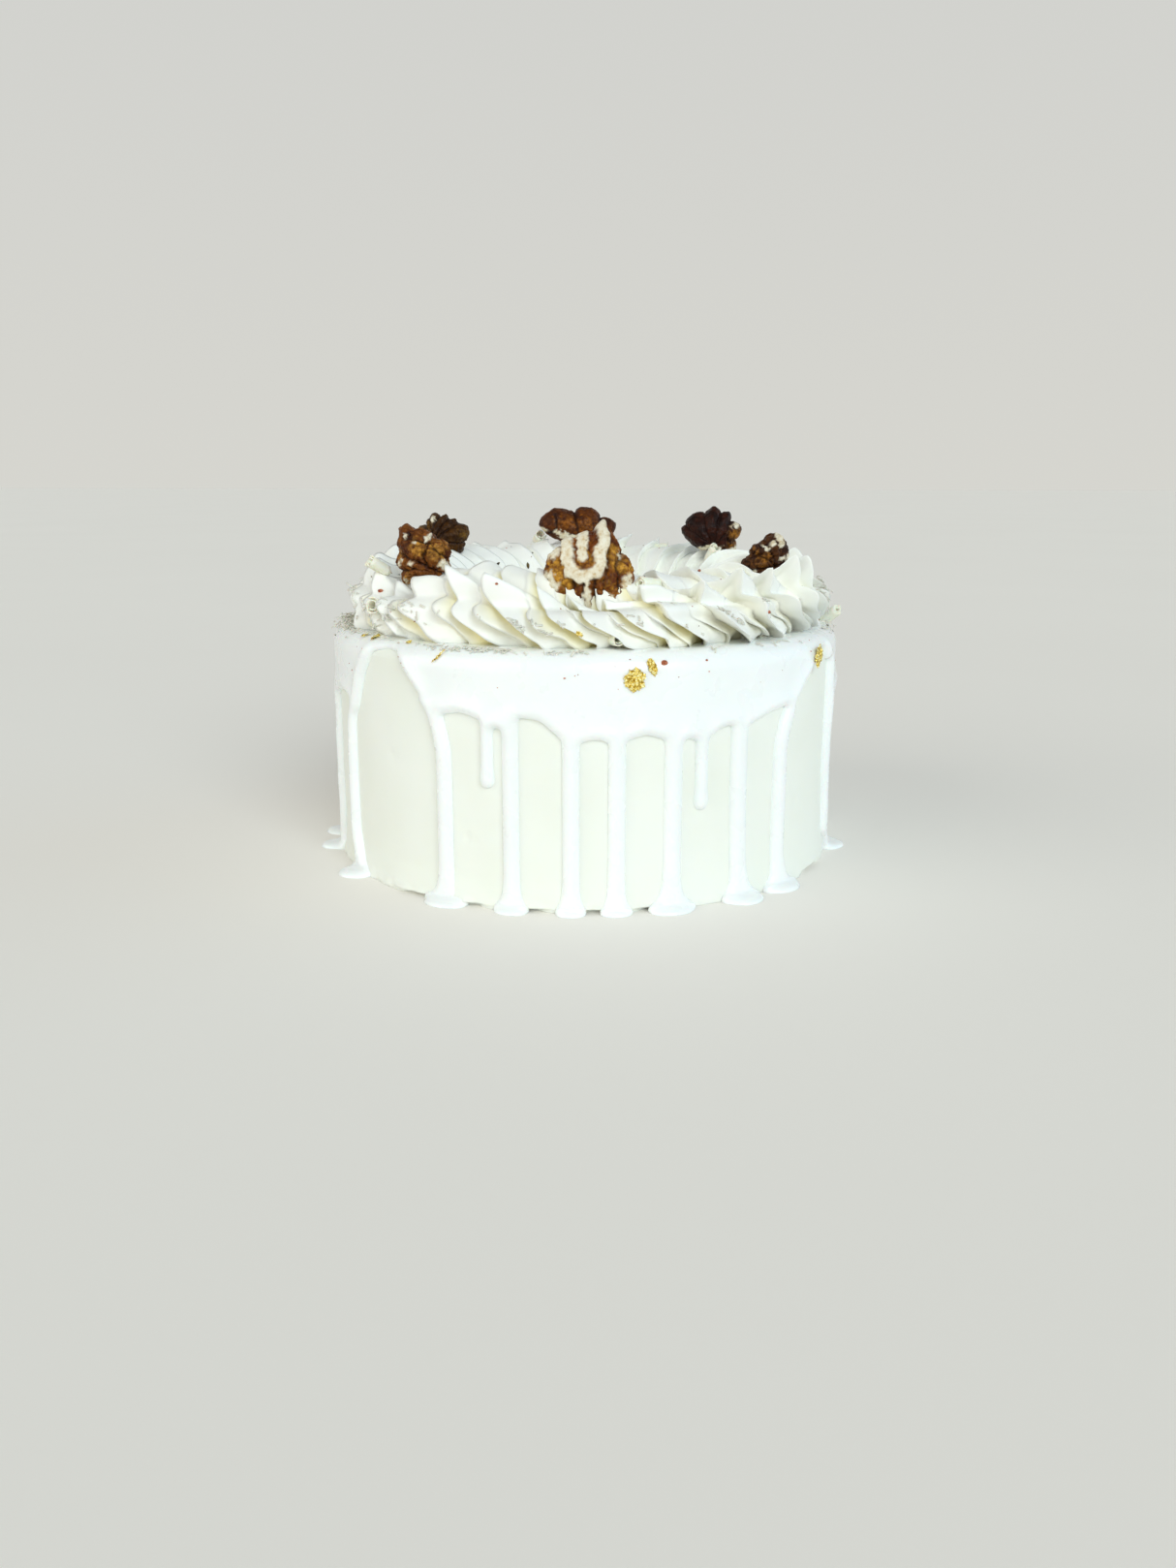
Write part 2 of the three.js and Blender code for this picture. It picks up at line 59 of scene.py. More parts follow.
RING_RADIUS = 72.0
LOOP_REACH = 12.5
LOOP_RISE = 6.2
STRAND_HEIGHT = 8.6
STRAND_RADIUS = 11.6


def add_object(name, data):
    made = bpy.data.objects.new(name, data)
    bpy.context.scene.collection.objects.link(made)
    return made


# ---- Camera ----
LENS_MM = 28.564
SENSOR_MM = 36.0
CAMERA_PLACE = (-0.0014, -0.5288, 0.1523)  # in metres
CAMERA_DIP = 13.74  # degrees below the horizon
CAMERA_SWING = -0.0052  # radians round the vertical
CAMERA_ROLL = 0.0023  # radians round the line of sight


def make_camera():
    data = bpy.data.cameras.new("camera")
    data.lens = LENS_MM
    data.sensor_width = SENSOR_MM
    data.clip_start = 0.01
    data.clip_end = 60.0
    camera = add_object("camera", data)
    turn = (
        Matrix.Rotation(CAMERA_SWING, 4, "Z")
        @ Matrix.Rotation(math.radians(90 - CAMERA_DIP), 4, "X")
        @ Matrix.Rotation(CAMERA_ROLL, 4, "Z")
    )
    camera.matrix_world = Matrix.Translation(CAMERA_PLACE) @ turn
    bpy.context.scene.camera = camera


make_camera()


# ---- Small helpers ----
def around(azimuth, radius, z):
    a = np.radians(azimuth)
    x, y, z = np.broadcast_arrays(radius * np.sin(a), -radius * np.cos(a), z)
    return np.stack([x, y, z], axis=-1)


def draw(n):
    """A repeatable random number from 0 to 1 for each number."""
    value = math.sin(n * 127.1 + 311.7) * 43758.5453
    return value - np.floor(value)


def bell(x, width):
    return np.exp(-((x / width) ** 2))


def smooth_step(x, low, high):
    t = np.clip((x - low) / (high - low), 0, 1)
    return t * t * (3 - 2 * t)


def wrapped(azimuth):
    """The same azimuth between -180 and 180."""
    return (azimuth + 180) % 360 - 180


def lattice_gradients(cells, seed):
    """A repeatable random direction for each cell corner."""
    keys = cells.astype(np.int64).astype(np.uint32)
    mixed = keys[:, 0] * np.uint32(73856093) ^ keys[:, 1] * np.uint32(19349663)
    mixed ^= keys[:, 2] * np.uint32(83492791) ^ np.uint32(int(seed * 977) + 12345)
    gradients = []
    for turn in (2654435761, 2246822519, 3266489917):
        mixed = (mixed ^ (mixed >> np.uint32(15))) * np.uint32(turn)
        mixed = mixed ^ (mixed >> np.uint32(13))
        gradients.append(mixed.astype(np.float64) / 2**31 - 1)
    return np.stack(gradients, axis=1)


def noise_at(points, scale, seed=0.0, octaves=1):
    """Smooth noise between about -1 and 1, with features about as long as scale."""
    total = np.zeros(len(points))
    for octave in range(octaves):
        place = np.asarray(points) / scale * 2.1**octave + 7.31 * octave
        cell = np.floor(place)
        inside = place - cell
        fade = inside**3 * (inside * (inside * 6 - 15) + 10)
        for corner in np.ndindex(2, 2, 2):
            weight = np.prod(np.where(corner, fade, 1 - fade), axis=1)
            slope = lattice_gradients(cell + corner, seed + octave)
            total += weight * (slope * (inside - corner)).sum(axis=1) * 1.3 * 0.5**octave
    return total


def new_object(name, points, faces, smooth=True):
    mesh = bpy.data.meshes.new(name)
    mesh.from_pydata((np.asarray(points) * MM).tolist(), [], [tuple(f) for f in faces])
    mesh.update()
    if smooth:
        mesh.shade_smooth()
    return add_object(name, mesh)


def set_attribute(made, name, values):
    attribute = made.data.attributes.new(name, "FLOAT", "POINT")
    attribute.data.foreach_set("value", np.asarray(values, dtype=np.float32))


def finished(made, material, replaced=()):
    made.data.materials.append(material)
    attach(made, "root")
    if replaced:
        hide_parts(*replaced)
    return made


def grid_faces(columns, rows, closed_rows=False):
    """Quads over a grid whose point i, j has the number i * rows + j. Its columns go round."""
    faces = []
    for i in range(columns):
        here, there = i * rows, ((i + 1) % columns) * rows
        for j in range(rows if closed_rows else rows - 1):
            k = (j + 1) % rows
            faces.append((here + j, there + j, there + k, here + k))
    return faces


# ---- Materials ----
def colour_ramp(tree, source, stops):
    """Colours at places along source, as (place, colour) stops."""
    ramp = tree.nodes.new("ShaderNodeValToRGB")
    elements = ramp.color_ramp.elements
    while len(elements) < len(stops):
        elements.new(0.5)
    for element, (place, colour) in zip(elements, stops):
        element.position = place
        element.color = (*colour, 1)
    tree.links.new(source, ramp.inputs["Fac"])
    return ramp.outputs["Color"]


class Surface:
    """A material's node tree, built up by short calls. Sources are the sockets they return."""

    def __init__(self, name, **inputs):
        self.material = bpy.data.materials.new(name)
        self.material.use_nodes = True
        self.tree = self.material.node_tree
        self.shader = self.tree.nodes["Principled BSDF"]
        self.place = self.add("TexCoord").outputs["Object"]
        self.give(self.shader, **inputs)

    def feed(self, socket, value):
        """Links a source to the socket, or sets its value."""
        if isinstance(value, bpy.types.NodeSocket):
            self.tree.links.new(value, socket)
        else:
            socket.default_value = value

    def give(self, node, **inputs):
        for name, value in inputs.items():
            self.feed(node.inputs[name.replace("_", " ")], value)

    def add(self, kind, **inputs):
        node = self.tree.nodes.new("ShaderNode" + kind)
        self.give(node, **inputs)
        return node

    def noise(self, size_mm, detail=3.0, roughness=0.5, stretch=(1, 1, 1)):
        place = self.add("Mapping", Vector=self.place, Scale=stretch).outputs["Vector"]
        grain = dict(Scale=1 / (size_mm * MM), Detail=detail, Roughness=roughness)
        return self.add("TexNoise", Vector=place, **grain).outputs["Fac"]

    def ramp(self, source, stops):
        return colour_ramp(self.tree, source, stops)

    def range(self, source, low, high, to_low, to_high):
        spans = dict(From_Min=low, From_Max=high, To_Min=to_low, To_Max=to_high)
        return self.add("MapRange", Value=source, **spans).outputs["Result"]

    def product(self, first, second):
        node = self.add("Math")
        node.operation = "MULTIPLY"
        for socket, value in zip(node.inputs, (first, second)):
            self.feed(socket, value)
        return node.outputs["Value"]

    def mix(self, factor, first, second):
        node = self.add("Mix", Factor=factor)
        node.data_type = "RGBA"
        sockets = [s for s in node.inputs if s.type == "RGBA"]
        for socket, value in zip(sockets, (first, second)):
            self.feed(socket, (*value, 1) if isinstance(value, tuple) else value)
        return next(s for s in node.outputs if s.type == "RGBA")

    def attribute(self, name):
        node = self.add("Attribute")
        node.attribute_name = name
        return node.outputs["Fac"]

    def colour(self, source):
        self.give(self.shader, Base_Color=source)

    def rough(self, size_mm, least, most):
        """Roughness that varies with noise."""
        self.give(self.shader, Roughness=self.range(self.noise(size_mm), 0.3, 0.7, least, most))

    def bumps(self, *layers):
        """Each layer is the values of a noise and then its depth in millimetres."""
        under = {}
        for *grain, depth_mm in layers:
            height = self.noise(*grain)
            node = self.add("Bump", Height=height, Strength=1.0, Distance=depth_mm * MM, **under)
            under = {"Normal": node.outputs["Normal"]}
        self.give(self.shader, **under)


def linear(red, green, blue):
    """A colour given as 0 to 255 sRGB, in linear light."""
    return tuple(
        c / 3294.6 if c <= 10.3 else ((c / 255 + 0.055) / 1.055) ** 2.4
        for c in (red, green, blue)
    )


def plain_surface(name, tone, stops, rough, bumps=(), **inputs):
    """A material with colour stops along a noise, whose values tone gives. rough and bumps are
    what Surface.rough and Surface.bumps take."""
    s = Surface(name, **inputs)
    s.tone = s.ramp(s.noise(*tone), stops)
    s.colour(s.tone)
    s.rough(*rough)
    s.bumps(*bumps)
    return s


def srgb_stops(places, *colours):
    """Stops for a ramp, from colours given as 0 to 255 sRGB."""
    return [(place, linear(*colour)) for place, colour in zip(places, colours)]


def buttercream_material():
    return plain_surface(
        "buttercream", (38, 2.0), srgb_stops((0.3, 0.7), (239, 242, 232), (243, 246, 239)),
        (16, 0.52, 0.66), [(9, 3.0, 0.55, (0.25, 0.25, 1.6), 0.12), (1.6, 2.0, 0.03)],
        Subsurface_Weight=0.12, Subsurface_Scale=0.004, Subsurface_Radius=(1.0, 0.8, 0.5),
        Specular_IOR_Level=0.35,
    ).material


def glaze_material():
    return plain_surface(
        "glaze", (30, 2.0), srgb_stops((0.3, 0.7), (246, 250, 250), (250, 253, 253)),
        (12, 0.22, 0.36), [(14, 2.0, 0.4, 0.10), (2.5, 2.0, 0.015)],
        Subsurface_Weight=0.1, Subsurface_Scale=0.003, Specular_IOR_Level=0.5,
        Coat_Weight=0.35, Coat_Roughness=0.08,
    ).material


def piping_material():
    s = plain_surface(
        "piped_buttercream", (14, 2.0), srgb_stops((0.3, 0.7), (250, 252, 247), (253, 254, 250)),
        (9, 0.38, 0.52), [(5, 3.0, 0.10), (0.9, 2.0, 0.02)],
        Subsurface_Weight=0.05, Subsurface_Scale=0.002, Subsurface_Radius=(1.0, 0.85, 0.5),
        Specular_IOR_Level=0.4,
    )
    # Painted shade: the crease attribute is shade painted into the creases, the hollows behind the
    # rims and the ring's foot, heavier on the left side than on the right. It turns the cream
    # yellow, and olive where it is deepest.
    crease = s.attribute("crease")
    creased = s.mix(crease, s.tone, linear(246, 238, 190))
    deepest_painted_shade = s.range(crease, 0.95, 1.7, 0.0, 0.8)
    s.colour(s.mix(deepest_painted_shade, creased, linear(230, 212, 128)))
    return s.material


def walnut_material(name, skin, amber, dark):
    s = Surface(name, Specular_IOR_Level=0.1, Coat_Weight=0.06, Coat_Roughness=0.08)
    tone = s.ramp(s.noise(5, 4.0, 0.6), [(0.4, dark), (0.58, skin)])
    patchy = s.range(s.noise(2.5), 0.35, 0.55, 0.4, 1.0)
    tone = s.mix(s.product(s.attribute("amber"), patchy), tone, amber)
    veins = s.range(s.noise(1.3, 5.0, 0.7), 0.38, 0.58, 0.0, 0.6)
    tone = s.mix(veins, tone, dark)
    # Painted shade: the skin turns nearly black in the kernel's creases.
    tone = s.mix(s.attribute("crease"), tone, linear(30, 10, 5))
    flesh = srgb_stops((0.32, 0.45, 0.65), (206, 180, 138), (226, 214, 188), (238, 232, 214))
    s.colour(s.mix(s.attribute("flesh"), tone, s.ramp(s.noise(1.8, 4.0, 0.6), flesh)))
    s.rough(3, 0.24, 0.45)
    s.bumps((2.4, 5.0, 0.6, 0.5), (0.7, 3.0, 0.6, 0.14))
    return s.material


def chocolate_material():
    return plain_surface(
        "white_chocolate", (3,), srgb_stops((0.3, 0.7), (246, 242, 218), (252, 250, 238)),
        (2, 0.35, 0.5), [(0.7, 3.0, 0.6, 0.05)],
        Subsurface_Weight=0.15, Subsurface_Scale=0.002, Specular_IOR_Level=0.45,
    ).material


def grating_material():
    return plain_surface(
        "chocolate_gratings", (2,), srgb_stops((0.3, 0.7), (214, 210, 196), (240, 240, 232)),
        (2, 0.45, 0.6), [(0.5, 3.0, 0.6, 0.05)],
        Subsurface_Weight=0.1, Subsurface_Scale=0.001, Specular_IOR_Level=0.4,
    ).material


def gold_material():
    leaf = srgb_stops((0.36, 0.48, 0.6), (150, 112, 24), (236, 206, 92), (255, 247, 188))
    return plain_surface(
        "gold_leaf", (0.9, 4.0, 0.6), leaf, (1.2, 0.18, 0.4), [(0.7, 4.0, 0.6, 0.25)],
        Metallic=0.7, Specular_IOR_Level=0.5,
    ).material


def crumb_material():
    return plain_surface(
        "crumbs", (1.2,), srgb_stops((0.4, 0.6), (140, 66, 40), (205, 130, 96)),
        (0.8, 0.6, 0.85), [(0.4, 3.0, 0.6, 0.1)], Specular_IOR_Level=0.3,
    ).material


def dark_fleck_material():
    return plain_surface(
        "dark_flecks", (0.8,), srgb_stops((0.4, 0.6), (40, 30, 14), (96, 78, 34)),
        (0.8, 0.4, 0.7), [(0.4, 3.0, 0.6, 0.06)], Specular_IOR_Level=0.4,
    ).material


def floor_material():
    paper = [(0.3, (0.925, 0.89, 0.845)), (0.7, (0.935, 0.9, 0.855))]
    return plain_surface(
        "floor_paper", (400, 2.0), paper, (200, 0.85, 0.95), Specular_IOR_Level=0.0
    ).material


# ---- The coated body ----
def side_wobble(azimuth):
    a = np.radians(azimuth)
    return 0.35 * np.sin(2 * a + 1) + 0.2 * np.sin(5 * a + 2.1)


def foot_flare(azimuth):
    a = np.radians(azimuth)
    lumps = 0.45 + 0.3 * np.sin(9 * a + 0.6) + 0.25 * np.sin(23 * a)
    front_left = bell(wrapped(azimuth) + 34, 26)
    return FOOT_FLARE * np.maximum(0, 0.3 * lumps + front_left * (0.55 + 0.3 * lumps))


# Where the front of the foot draws in at the floor, as (azimuth, half width).
FOOT_GAPS = [(-11, 3.4), (1.8, 3.0), (13.4, 3.2), (-37, 5), (62, 4), (-24, 3)]
# Dents in the side, as (azimuth, height, depth, radius).
DENTS = [(-24.7, 25.9, 0.9, 1.3), (-22.8, 24.6, 0.5, 0.8), (-45, 52, 0.35, 2.4), (52, 33, 0.3, 2)]
BODY_COLUMNS = 540
# The foot's flare at heights over the floor, as a share of its full width.
FLARE_HEIGHTS = [0, 1.6, 4.5, 11]
FLARE_SHARES = [0.95, 1, 0.55, 0]


def side_radius(az, z):
    """The radius of the coat's side, with its swellings, smears, ragged foot and dents."""
    flat = around(az, BODY_RADIUS, z).reshape(-1, 3)
    swell = noise_at(flat, 34, 1).reshape(az.shape) * 0.28
    smear = noise_at(flat * [0.35, 0.35, 1], 6, 2).reshape(az.shape) * 0.07
    rag = noise_at(flat, 4.2, 3, 2).reshape(az.shape)
    low = smooth_step(6.5 - z, 0, 5.5)
    flare = foot_flare(az) * np.interp(z, FLARE_HEIGHTS, FLARE_SHARES)
    radius = BODY_RADIUS + side_wobble(az)
    radius = radius + flare + swell + smear + rag * low * (0.35 + 0.3 * flare)
    for centre, half in FOOT_GAPS:
        gap = bell(wrapped(az - centre), half) * smooth_step(1.9 - z, 0, 1.0)
        radius = radius - 4.0 * gap
    for centre, height, depth, size in DENTS:
        across = wrapped(az - centre) * math.radians(BODY_RADIUS)
        radius = radius - depth * bell(np.hypot(across, z - height), size)
    return radius


def hidden_top(azimuths):
    """The rings of the rounded edge and of the top, which the glaze covers."""
    edge = BODY_RADIUS + side_wobble(azimuths)
    rings = []
    for t in (math.radians(turn) for turn in (30, 60, 90)):
        inset = BODY_EDGE_ROUND * (1 - math.cos(t))
        height = BODY_HEIGHT - BODY_EDGE_ROUND * (1 - math.sin(t))
        rings.append(around(azimuths, edge - inset, height)[:, None])
    for share in (0.66, 0.33, 0.02):
        rings.append(around(azimuths, edge * share, BODY_HEIGHT)[:, None])
    return rings


def make_body(material):
    fine, coarse = np.arange(0, 7, 0.45), np.arange(7, EDGE_START, 1.5)
    levels = np.concatenate([fine, coarse, [EDGE_START]])
    azimuths = np.arange(BODY_COLUMNS) * 360 / BODY_COLUMNS - 180
    az, z = np.meshgrid(azimuths, levels, indexing="ij")
    side = around(az, side_radius(az, z), z)
    points = np.concatenate([side, *hidden_top(azimuths)], axis=1)
    rows = points.shape[1]
    faces = grid_faces(BODY_COLUMNS, rows)
    faces.append(tuple(i * rows for i in reversed(range(BODY_COLUMNS))))
    faces.append(tuple(i * rows + rows - 1 for i in range(BODY_COLUMNS)))
    made = new_object("coated_body", points.reshape(-1, 3), faces)
    return finished(made, material, ["frosted_body"])


# ---- The glaze ----
FRONT_DRIPS = [
    dict(at=-93, width=6.5, foot=15, puddle=12, arch=(66, 69, 67)),
    dict(
        at=-77, width=6, foot=14, puddle=11,
        lean=[(-81, 0), (-77, 16), (-77, 68)],
        arch=(68, 72, 70),
    ),
    dict(
        at=-61, width=6, foot=16, puddle=11,
        lean=[(-58.5, 0), (-61.5, 16), (-62, 40), (-61.5, 62), (-56.5, 79), (-51, 90)],
        window=[
            (-58, 66), (-54.5, 80), (-50.5, 90), (-46, 92), (-42.2, 91.4), (-38.8, 83.6), (-35, 76),
        ],
    ),
    dict(
        at=-29.7, width=6.6, foot=20, puddle=8,
        lean=[(-29.7, 0), (-29.7, 58), (-31.5, 70), (-36.5, 81), (-41.5, 91)],
        arch=(70.5, 72, 70),
    ),
    dict(at=-19.8, width=5, tip=45.5, arch=(67, 67.6, 67)),
    dict(at=-14.9, width=6.2, foot=14, puddle=6, arch=(71.5, 70.7, 64)),
    dict(at=-2.9, width=6.2, foot=12, puddle=5, arch=(63, 64.2, 63.4)),
    dict(at=6.1, width=6.3, foot=12, puddle=5, arch=(63.6, 65.6, 63.6)),
    dict(at=17.5, width=6.9, foot=19, puddle=7, arch=(62.6, 63.4, 62.8)),
    dict(at=23.6, width=5.3, tip=37, arch=(62.8, 66, 67)),
    dict(
        at=32.7, width=7.4, foot=18, puddle=9,
        lean=[(34, 0), (33, 14), (32.5, 40), (32.5, 64)],
        arch=(65.8, 69.2, 71),
    ),
    dict(
        at=44.7, width=7.2, foot=19, puddle=8,
        lean=[(45.8, 0), (44.5, 16), (44.5, 56), (46.5, 68), (50, 76), (54, 84)],
        window=[(48.5, 71), (52, 77.5), (55.7, 83), (58.8, 89.6), (63.5, 90), (65, 84)],
    ),
    dict(
        at=69, width=7, foot=16, puddle=9.5,
        lean=[(82, 0), (71, 12), (68.5, 40), (69, 88)],
        arch=(69, 73, 70),
    ),
]
FRONT_END = 92
BACK_DRIPS = 13


def back_drip(n):
    pitch = (FRONT_DRIPS[0]["at"] + 360 - FRONT_END) / (BACK_DRIPS + 1)
    crown = 62 + 9 * draw(n + 0.2)
    row = dict(
        at=FRONT_END + (n + 0.6 + 0.3 * draw(n)) * pitch,
        width=5.4 + 1.8 * draw(n + 0.4),
        arch=(crown - 1.5, crown, crown - 2.5 + 2 * draw(n + 0.6)),
    )
    if n % 4 == 2:
        row.update(tip=34 + 16 * draw(n + 0.8))
    else:
        row.update(foot=11 + 5 * draw(n + 0.1), puddle=5 + 6 * draw(n + 0.3))
    return row


DRIPS = FRONT_DRIPS + [back_drip(n) for n in range(BACK_DRIPS)]

PER_DEGREE = TAU * 104 / 360  # the length of a degree along the glaze
WHOLE_TURN = 360 * PER_DEGREE
CORNER = 3.5  # radius of the fillet between the side and the floor
CORNER_END = CORNER - CORNER * math.pi / 2  # the run at which the fillet meets the floor
EDGE_END = EDGE_START + BODY_EDGE_ROUND * math.pi / 2
SHEET_TOP = EDGE_END + 3.0  # where the side's mesh meets the top's
RIM_INSETS = (0.15, 0.5, 1.1)  # where the mesh has lines of points along the glaze's edge
# The mesh's grids inside them: spacing, lowest run, least and greatest distance to the edge.
GRIDS = [(1.0, -16, 1.7, 4.3), (2.5, 20, 5.0, 1e3)]
SEAM_POINTS = 16  # up the line where the flat sheet's two ends meet
SIDE_POINTS = 16  # up each side of a drip
TIP_ROUND = 2.2  # how far above a free tip its rounding starts
EDGE_SOFTNESS = 1.25  # how far the glaze's edge is smoothed along itself
# The rings of points over the top, inwards from the sheet: points in each, and their runs.
TOP_COLUMNS = 260
TOP_RUNS = SHEET_TOP + np.array([3, 7, 12, 18, 25, 33, 42, 52, 63, 75, 88])


def route(row, z):
    lean = row.get("lean")
    if not lean:
        return row["at"]
    heights = [height for _, height in lean]
    return float(np.interp(z, heights, [azimuth for azimuth, _ in lean]))


def drip_width(row, z):
    if "foot" in row:
        return row["width"] + (row["foot"] - row["width"]) * math.exp(-max(z - 1, 0) / 2.9)
    bulb = 0.2 * math.exp(-(((z - row["tip"] - 3) / 3) ** 2))
    return row["width"] * (0.94 + bulb)


def drip_side(row, sign, low, high):
    """Points up one side of a drip."""
    side = []
    for z in np.linspace(low, high, SIDE_POINTS):
        half = 0.5 * drip_width(row, z)
        side.append((route(row, z) * PER_DEGREE + sign * half, z))
    return side


def drip_end(row):
    """Points round the lower end of a drip, from its left to its right."""
    if "foot" not in row:
        low, half = row["tip"] + TIP_ROUND, 0.56 * row["width"]
        reach = row["tip"] - 0.6
        middle = row["at"] * PER_DEGREE
    else:
        low, half = 1.0, 0.5 * row["foot"]
        reach = CORNER_END - (row["puddle"] - CORNER)
        middle = route(row, 0) * PER_DEGREE
    end = []
    for t in np.linspace(0, math.pi, 17)[1:-1]:
        rag = 1 + 0.06 * math.sin(5 * t + row["at"]) + 0.05 * math.sin(3 * t + 2 * row["at"])
        end.append((middle - half * rag * math.cos(t), low - (low - reach) * math.sin(t)))
    return end


def outline_points():
    """The glaze's whole lower edge once round, as (along, run) points.

    It starts and ends in the middle of a bare arch, which is clear of every foot.
    """
    line = []
    for i, row in enumerate(DRIPS):
        last = DRIPS[i - 1]
        if "window" in last:
            left_top = last["window"][-1][1]
        else:
            left_top = last["arch"][2]
        bottom = 1.0 if "foot" in row else row["tip"] + TIP_ROUND
        line += drip_side(row, -1, bottom, left_top)[::-1]
        line += drip_end(row)
        if "window" in row:
            line += drip_side(row, 1, bottom, row["window"][0][1] - 2)
            line += [(a * PER_DEGREE, z) for a, z in row["window"]]
            continue
        left, crown, right = row["arch"]
        line += drip_side(row, 1, bottom, left)
        following = DRIPS[(i + 1) % len(DRIPS)]
        shift = 0 if i + 1 < len(DRIPS) else 360
        start = line[-1][0]
        stop = (route(following, right) + shift) * PER_DEGREE - 0.5 * following["width"]
        line.append((0.5 * (start + stop), crown))
    along, crown = line[-1]
    return np.array([(along - WHOLE_TURN, crown), *line])


def resampled(line, spacing):
    """The line with even spacing, its steady run round the cake taken out so that its ends meet,
    and that run.
    """
    length = np.concatenate([[0], np.cumsum(np.hypot(*np.diff(line, axis=0).T))])
    count = int(length[-1] / spacing)
    even = np.linspace(0, length[-1], count, endpoint=False)
    x = np.interp(even, length, line[:, 0])
    z = np.interp(even, length, line[:, 1])
    trend = WHOLE_TURN * np.arange(count) / count
    return x - trend, z, trend


def blurred(values, sigma):
    reach = int(4 * sigma)
    kernel = np.exp(-0.5 * (np.arange(-reach, reach + 1) / sigma) ** 2)
    kernel /= kernel.sum()
    padded = np.concatenate([values[-reach:], values, values[:reach]])
    return np.convolve(padded, kernel, mode="valid")


def glaze_outline():
    line = outline_points()
    step = 0.4
    x, z, trend = resampled(line, step)
    x, z = blurred(x, EDGE_SOFTNESS / step), blurred(z, EDGE_SOFTNESS / step)
    return np.stack([x + trend, z], axis=1)[::2]


def inside_outline(points, outline):
    """Whether each point lies above the glaze's lower edge."""
    x0, z0 = outline[:, 0], outline[:, 1]
    x1, z1 = np.append(x0[1:], x0[0] + WHOLE_TURN), np.append(z0[1:], z0[0])
    laps = (-WHOLE_TURN, 0, WHOLE_TURN)
    x0, x1 = (np.concatenate([x + lap for lap in laps]) for x in (x0, x1))
    z0, z1 = np.tile(z0, 3), np.tile(z1, 3)
    along = (points[:, 0] - outline[0, 0]) % WHOLE_TURN + outline[0, 0]
    inside = np.zeros(len(points), dtype=bool)
    strip = 2.0
    strips = np.floor(along / strip)
    for number in np.unique(strips):
        low, high = number * strip, (number + 1) * strip
        near = (np.minimum(x0, x1) <= high) & (np.maximum(x0, x1) >= low)
        a, b, c, d = x0[near], x1[near], z0[near], z1[near]
        chosen = np.flatnonzero(strips == number)
        x, z = along[chosen][:, None], points[chosen, 1][:, None]
        spans = (a <= x) != (b <= x)
        height = c + (x - a) / np.where(b == a, 1, b - a) * (d - c)
        inside[chosen] = (spans & (height < z)).sum(axis=1) % 2 == 1
    return inside


def edge_distance(points, outline):
    """How far each point is from the glaze's lower edge."""
    x = np.concatenate([outline[:, 0] + lap for lap in (-WHOLE_TURN, 0, WHOLE_TURN)])
    z = np.tile(outline[:, 1], 3)
    near = (x > outline[0, 0] - 30) & (x < outline[-1, 0] + 30)
    x, z = x[near], z[near]
    tree = KDTree(len(x))
    for i in range(len(x)):
        tree.insert((x[i], z[i], 0), i)
    tree.balance()
    return np.array([tree.find((p[0], p[1], 0))[2] for p in points])


def glaze_depth(distance, run):
    """How thick the glaze is, from its distance to the edge and its run up the side."""
    half = 3.3
    rounded = DRIP_DEPTH * np.sqrt(np.clip(1 - (1 - np.minimum(distance, half) / half) ** 2, 0, 1))
    flat = np.interp(run, [12, 26, 84, EDGE_END], [2.5, GLAZE_SIDE, GLAZE_SIDE, GLAZE_TOP])
    settle = np.clip(distance - half, 0, None)
    depth = np.where(distance < half, rounded, flat + (DRIP_DEPTH - flat) * np.exp(-settle / 2.6))
    high = smooth_step(run, 86, EDGE_END)
    depth = depth * (1 - high) + np.minimum(depth, flat) * high
    floor_part = smooth_step(CORNER_END - run, -2.0, 2.0)
    return np.maximum(depth * (1 - 0.22 * floor_part), 0.2)


def on_cake(azimuth, run, depth):
    """The point at a depth over the body's surface, for a run up its side and over its top."""
    radius = BODY_RADIUS + side_wobble(azimuth)
    turn = np.clip((run - EDGE_START) / BODY_EDGE_ROUND, 0, math.pi / 2)
    past = np.clip(run - EDGE_END, 0, None)
    r = radius - BODY_EDGE_ROUND + (BODY_EDGE_ROUND + depth) * np.cos(turn) - past
    z = np.minimum(run, EDGE_START) + (BODY_EDGE_ROUND + depth) * np.sin(turn)
    bend = np.clip((CORNER - run) / CORNER, 0, math.pi / 2)
    beyond = np.clip(CORNER_END - run, 0, None)
    low = run < CORNER
    r = np.where(low, radius + CORNER - (CORNER - depth) * np.cos(bend) + beyond, r)
    z = np.where(low, CORNER - (CORNER - depth) * np.sin(bend), z)
    return r, z


def glaze_points(azimuth, run, depth):
    r, z = on_cake(azimuth, run, depth)
    return around(azimuth, r, np.maximum(z, 0))


def glaze_back(azimuth, run):
    """Points on the hidden side, a little inside the body and flat on the floor."""
    sunk = 0.35
    deep = np.where(run < CORNER, -1.6, -sunk)
    r, z = on_cake(azimuth, run, deep)
    inner = BODY_RADIUS + side_wobble(azimuth) - sunk
    r = np.where(run < CORNER, np.maximum(r, inner), r)
    return around(azimuth, r, np.maximum(z, 0))


def hexagonal(spacing, low, high, left, right, seed):
    rng = np.random.default_rng(seed)
    rows = []
    step = spacing * math.sqrt(3) / 2
    for k, z in enumerate(np.arange(low, high, step)):
        x = np.arange(left + (k % 2) * spacing / 2, right, spacing)
        rows.append(np.stack([x, np.full(len(x), z)], axis=1))
    points = np.concatenate(rows)
    return points + rng.uniform(-0.08, 0.08, points.shape) * spacing


